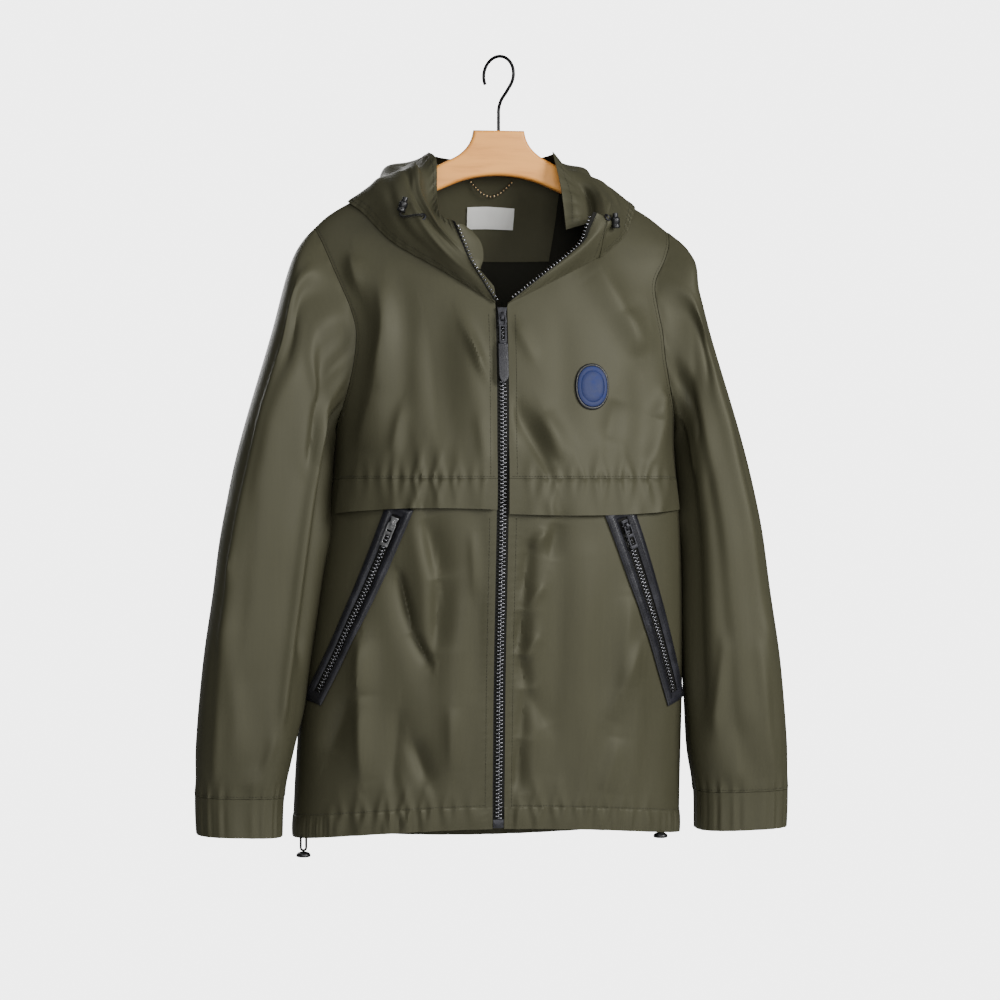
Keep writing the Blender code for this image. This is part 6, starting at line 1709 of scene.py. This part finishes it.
class WINDBREAKER_OT_zip(bpy.types.Operator):
    """Main zip: tapes, locked teeth, the open upper ends, slider, pull, leather tab and bottom stop"""
    bl_idname = "windbreaker.zip"
    bl_label = "Main zip"

    def execute(self, context):
        guides = hood_guides()
        down = mix(ZIP_TOP + 0.006, ZIP_BOTTOM, spread(170))
        for name, first, last in (("right", -ZIP_HALF, -TAPE_SLOT), ("left", TAPE_SLOT, ZIP_HALF)):
            x, level = np.meshgrid(mix(first, last, spread(6)), down)
            wall("zip_tape_" + name + "_weave", *lay_at(x, level, -TAPE_THICK), TAPE_THICK, "tape",
                 "zip_tape_" + name)
        teeth("zip_teeth_locked", *lay_at(0.0 * down, down, TEETH_LIFT), TEETH_HALF, "zip_teeth")
        for side in ("right", "left"):
            v = mix(0.06, 1.0, spread(60))
            outside, normal = rows_of([zip_end(side, v, away, 0.0002, guides)
                                       for away in (0.0004, 0.0025, ZIP_END_WIDTH - 0.0028)])
            wall("zip_end_" + side + "_tape", outside, normal, END_TAPE_THICK, "tape")
            line, facing = zip_end(side, mix(0.08, 0.97, spread(60)), ZIP_END_WIDTH - 0.0022, 0.0, guides)
            teeth("zip_end_" + side + "_teeth", line, facing, END_TEETH_HALF, "zip_end_" + side, (SIDES[side],))
        place = surface_frame(0.0, MAIN_SLIDER_DOWN, MAIN_PULL_AIM)
        slider("zip", MAIN_SLIDER, place, "gunmetal")
        hang = pull("zip_pull_link", "zip_pull", MAIN_PULL, MAIN_SLIDER, place, "gunmetal", "main_pull")
        half, top = TAB_WIDTH / 2.0, MAIN_PULL[1] + SEAM_GAP
        tip = top + TAB_LENGTH
        strap = [(half, top + 0.001), (half, tip - 0.008), (half * 0.86, tip - 0.0045), (half * 0.45, tip - 0.0012),
                 (0.0, tip)]
        loop = strap + [(-x, y) for x, y in reversed(strap[:-1])] + [(-half * 0.85, top), (half * 0.85, top)]
        plate("zip_tab_leather", [loop], TAB_THICK / 2.0, TAB_BEVEL, hang, "leather", "zip_tab", "main_pull")
        rows = rows_of([lay_at(mix(-0.0056, 0.0056, spread(8)), np.full(9, ZIP_BOTTOM + below), lift)
                        for below, lift in ((0.0004, 0.0006), (0.0014, 0.0013), (0.0050, 0.0014),
                                            (0.0090, 0.0013), (0.0100, 0.0006))])
        wall("zip_stop_block", *rows, 0.0026, "gunmetal", "zip_stop")
        return {"FINISHED"}


class WINDBREAKER_OT_pockets(bpy.types.Operator):
    """Leather pocket welts with their zips, sliders and pulls"""
    bl_idname = "windbreaker.pockets"
    bl_label = "Pockets"

    def execute(self, context):
        for side, pocket in POCKETS.items():
            (top_x, top_down, top_half), (low_x, low_down, _) = pocket
            length = math.hypot(low_x - top_x, low_down - top_down)
            border, slot = POCKET_END_BORDER / length, POCKET_SLOT / top_half
            outside, normal = rows_of([self.loop(pocket, border, slot, inward) for inward in spread(14)])
            piece = wall("pocket_welt_" + side + "_leather", outside, normal, LEATHER_THICK, "leather",
                         "pocket_welt_" + side, closed=True)
            shares, across = np.meshgrid(mix(border * 0.8, 1.0 - border * 0.8, spread(80)),
                                         slot * 1.02 * mix(-1.0, 1.0, spread(8)))
            outside, normal = lay_at(*pocket_place(pocket, shares, across), POCKET_LIFT - POCKET_TAPE_DEPTH)
            wall("pocket_zip_" + side + "_tape", outside, normal, TAPE_THICK, "tape", "pocket_zip_" + side)
            x, down = pocket_place(pocket, mix(border * 1.3, 1.0 - border * 1.1, spread(120)), 0.0)
            teeth("pocket_zip_" + side + "_teeth", *lay_at(x, down, POCKET_LIFT - POCKET_TEETH_DEPTH),
                  POCKET_TEETH_HALF)
            place = surface_frame(*pocket_place(pocket, POCKET_SLIDER_PLACE, 0.0),
                                  pocket_place(pocket, POCKET_SLIDER_PLACE + 0.1, 0.0))
            # The two pockets' sliders and pulls are alike, yet the right's get bright steel and the left's dark
            # gunmetal: a lit and a shaded copy of one metal, painted light and shade
            metal = "steel" if side == "right" else "gunmetal"
            slider("pocket_" + side, POCKET_SLIDER, place, metal)
            pull("pocket_pull_" + side + "_tag", "pocket_pull_" + side, POCKET_PULL, POCKET_SLIDER, place, metal,
                 side + "_pull")
            stitch_lines("pocket_stitches_" + side, [self.loop(pocket, border, slot, inward, STITCH_LIFT)
                                                     for inward in (0.16, 0.62)], "black_thread")
        return {"FINISHED"}

    def loop(self, pocket, border, slot, inward, lift=0.0):
        """Places once round a puffed welt, inward from its edge to the slot, and the way they face."""
        down, low = spread(60), mix(1.0, -1.0, spread(12))[1:-1]
        share = np.concatenate((down, np.ones(len(low)), down[::-1], np.zeros(len(low))))
        across = np.concatenate((np.ones(len(down)), low, -np.ones(len(down)), -low))
        shares = mix(border * inward, 1.0 - border * inward, share)
        puff = WELT_PUFF * math.sin(math.pi * min(1.0, 0.10 + 0.80 * inward)) ** 0.8
        place = pocket_place(pocket, shares, mix(1.0, slot, inward) * across)
        return lay_at(*place, POCKET_LIFT - WELT_SINK + puff + lift)


class WINDBREAKER_OT_badge(bpy.types.Operator):
    """Bare oval badge: a dark backing with a raised rim and a coloured face"""
    bl_idname = "windbreaker.badge"
    bl_label = "Badge"

    def execute(self, context):
        inner = 1.0 - 0.75 * BADGE_RIM / BADGE_HALF_WIDTH
        self.dish("badge_rim", BADGE_RIM_ROWS, 1.0, "plastic", "badge_base", 0.0009)
        self.dish("badge_disc", BADGE_FACE_ROWS, inner, "badge", "badge_face", 0.0006)
        return {"FINISHED"}

    def dish(self, name, rows, size, material, node, thick):
        """Oval dish from rows of share of its size and height over the cloth."""
        turn = np.linspace(0.0, math.tau, 96, endpoint=False)
        across, along = (np.copysign(np.abs(way) ** 0.9, way) for way in (np.cos(turn), np.sin(turn)))
        made = [lay_at(BADGE_X + BADGE_HALF_WIDTH * size * share * across,
                       BADGE_DOWN + BADGE_HALF_HEIGHT * size * share * along, BADGE_LIFT + WALL + lift)
                for share, lift in rows]
        wall(name, *rows_of(made), thick, material, node, closed=True)


class WINDBREAKER_OT_stitching(bpy.types.Operator):
    """Sewn lines on the yokes, placket, hem, armholes, cuffs, collar and hood"""
    bl_idname = "windbreaker.stitching"
    bl_label = "Stitching"

    def execute(self, context):
        guides = hood_guides()
        lines = []
        for side in SIDES.values():
            x = side * mix(*YOKE_STITCH_SPAN, spread(160))
            seam = (x, np.full(x.shape, YOKE_SEAM - YOKE_STITCH))
            down = mix(PLACKET_TOP, YOKE_SEAM - 0.004, spread(140))
            placket = (np.full(down.shape, side * PLACKET_LINE), down)
            lines += [lay_at(*line, flap_stand(angle_at(*line), line[1]) + STITCH_LIFT) for line in (seam, placket)]
            down = mix(FLAP_EDGE + 0.006, FRONT_HEM - HEM_HEIGHT, spread(200))
            lines.append(lay_at(np.full(down.shape, side * PLACKET_LINE), down, STITCH_LIFT))
            angle = side * mix(4.0, 86.0, spread(200))
            lines.append(lay(angle, hem_level(angle, HEM_HEIGHT + HEM_STITCH), STITCH_LIFT))
            down = armhole_down(mix(4.0, 176.0, spread(120)))
            lines.append(lay_at(side * (armhole_across(down) - ARMHOLE_STITCH), down, STITCH_LIFT))
        angle = mix(94.0, 266.0, spread(300))
        lines.append(lay(angle, hem_level(wrapped(angle), HEM_HEIGHT + HEM_STITCH), STITCH_LIFT))
        stitch_lines("body_stitches", lines)
        angle = np.linspace(0.0, 360.0, 300)
        ring = np.full(angle.shape, CUFF_SEAM - 0.05)
        stitch_lines("cuff_stitches", [
            sleeve_on(angle, ring, cuff_wave(angle, side) * SLEEVE_GATHERS + STITCH_LIFT, side) for side in SIDES])
        lines = []
        for first, last, v in HOOD_STITCH_ROWS:
            u = mix(first, last, spread(400))
            lines.append(hood_lay(u, np.full(u.shape, v), guides, STITCH_LIFT))
        v = mix(0.03, 0.96, spread(160))
        for seam in (HOOD_SEAM_RIGHT, HOOD_SEAM_LEFT):
            lines += [hood_lay(np.full(v.shape, seam + beside), v, guides, STITCH_LIFT)
                      for beside in (-HOOD_STITCH, HOOD_STITCH)]
        v = mix(0.05, 0.96, spread(100))
        lines += [collar_lay(np.full(v.shape, share), v, guides, STITCH_LIFT) for share in COLLAR_STITCHES]
        stitch_lines("hood_stitches", lines)
        return {"FINISHED"}


class WINDBREAKER_OT_hanger(bpy.types.Operator):
    """Contoured wooden hanger with its wire hook"""
    bl_idname = "windbreaker.hanger"
    bl_label = "Hanger"

    def execute(self, context):
        table = np.array(HANGER_OUTLINE) * np.array((1.0, -1.0))
        table = np.concatenate((table, (table * np.array((-1.0, 1.0)))[-2::-1]))
        plate("hanger_body", [self.curve(table, 260)], HANGER_HALF_THICK, HANGER_ROUND,
              Matrix.Rotation(math.pi / 2.0, 4, "X"), "wood", "hanger_wood")
        points = self.curve(np.array(HOOK_STEM), 24)
        for angle in np.radians(np.linspace(*HOOK_ANGLES, 56)):
            points.append((HOOK_RADIUS * math.cos(angle), HOOK_RADIUS - HOOK_WIRE - HOOK_RADIUS * math.sin(angle)))
        route = [(out * math.sin(HOOK_TURN), -out * math.cos(HOOK_TURN), -down) for out, down in points]
        tube("hanger_wire", route, HOOK_WIRE, "wire", "hanger_hook")
        return {"FINISHED"}

    def curve(self, table, count):
        """Even places on a smooth curve through the rows of a table."""
        steps = run_of(table)
        return smooth(steps, table, np.linspace(0.0, steps[-1], count)).tolist()


class WINDBREAKER_PT_panel(bpy.types.Panel):
    """Steps of the build, with the sizes and colours that they use"""
    bl_idname = "WINDBREAKER_PT_panel"
    bl_label = "Windbreaker"
    bl_space_type = "VIEW_3D"
    bl_region_type = "UI"
    bl_category = "Windbreaker"

    def draw(self, context):
        for operator in OPERATORS:
            self.layout.operator(operator.bl_idname)
        for group in (context.scene.windbreaker_sizes, context.scene.windbreaker_colours):
            box = self.layout.box()
            for label in group.__annotations__:
                box.prop(group, label)


OPERATORS = (
    WINDBREAKER_OT_stage, WINDBREAKER_OT_cords, WINDBREAKER_OT_yokes, WINDBREAKER_OT_body, WINDBREAKER_OT_sleeves,
    WINDBREAKER_OT_hood, WINDBREAKER_OT_neck, WINDBREAKER_OT_zip, WINDBREAKER_OT_pockets, WINDBREAKER_OT_badge,
    WINDBREAKER_OT_stitching, WINDBREAKER_OT_hanger,
)
CLASSES = (WindbreakerSizes, WindbreakerColours) + OPERATORS + (WINDBREAKER_PT_panel,)


def register():
    for kind in CLASSES:
        bpy.utils.register_class(kind)
    bpy.types.Scene.windbreaker_sizes = PointerProperty(type=WindbreakerSizes)
    bpy.types.Scene.windbreaker_colours = PointerProperty(type=WindbreakerColours)


def unregister():
    del bpy.types.Scene.windbreaker_colours
    del bpy.types.Scene.windbreaker_sizes
    for kind in reversed(CLASSES):
        bpy.utils.unregister_class(kind)


def main():
    register()
    bpy.ops.windbreaker.stage()
    bpy.ops.windbreaker.cords()
    bpy.ops.windbreaker.yokes()
    bpy.ops.windbreaker.body()
    bpy.ops.windbreaker.sleeves()
    bpy.ops.windbreaker.hood()
    bpy.ops.windbreaker.neck()
    bpy.ops.windbreaker.zip()
    bpy.ops.windbreaker.pockets()
    bpy.ops.windbreaker.badge()
    bpy.ops.windbreaker.stitching()
    bpy.ops.windbreaker.hanger()


if __name__ == "__main__":
    main()
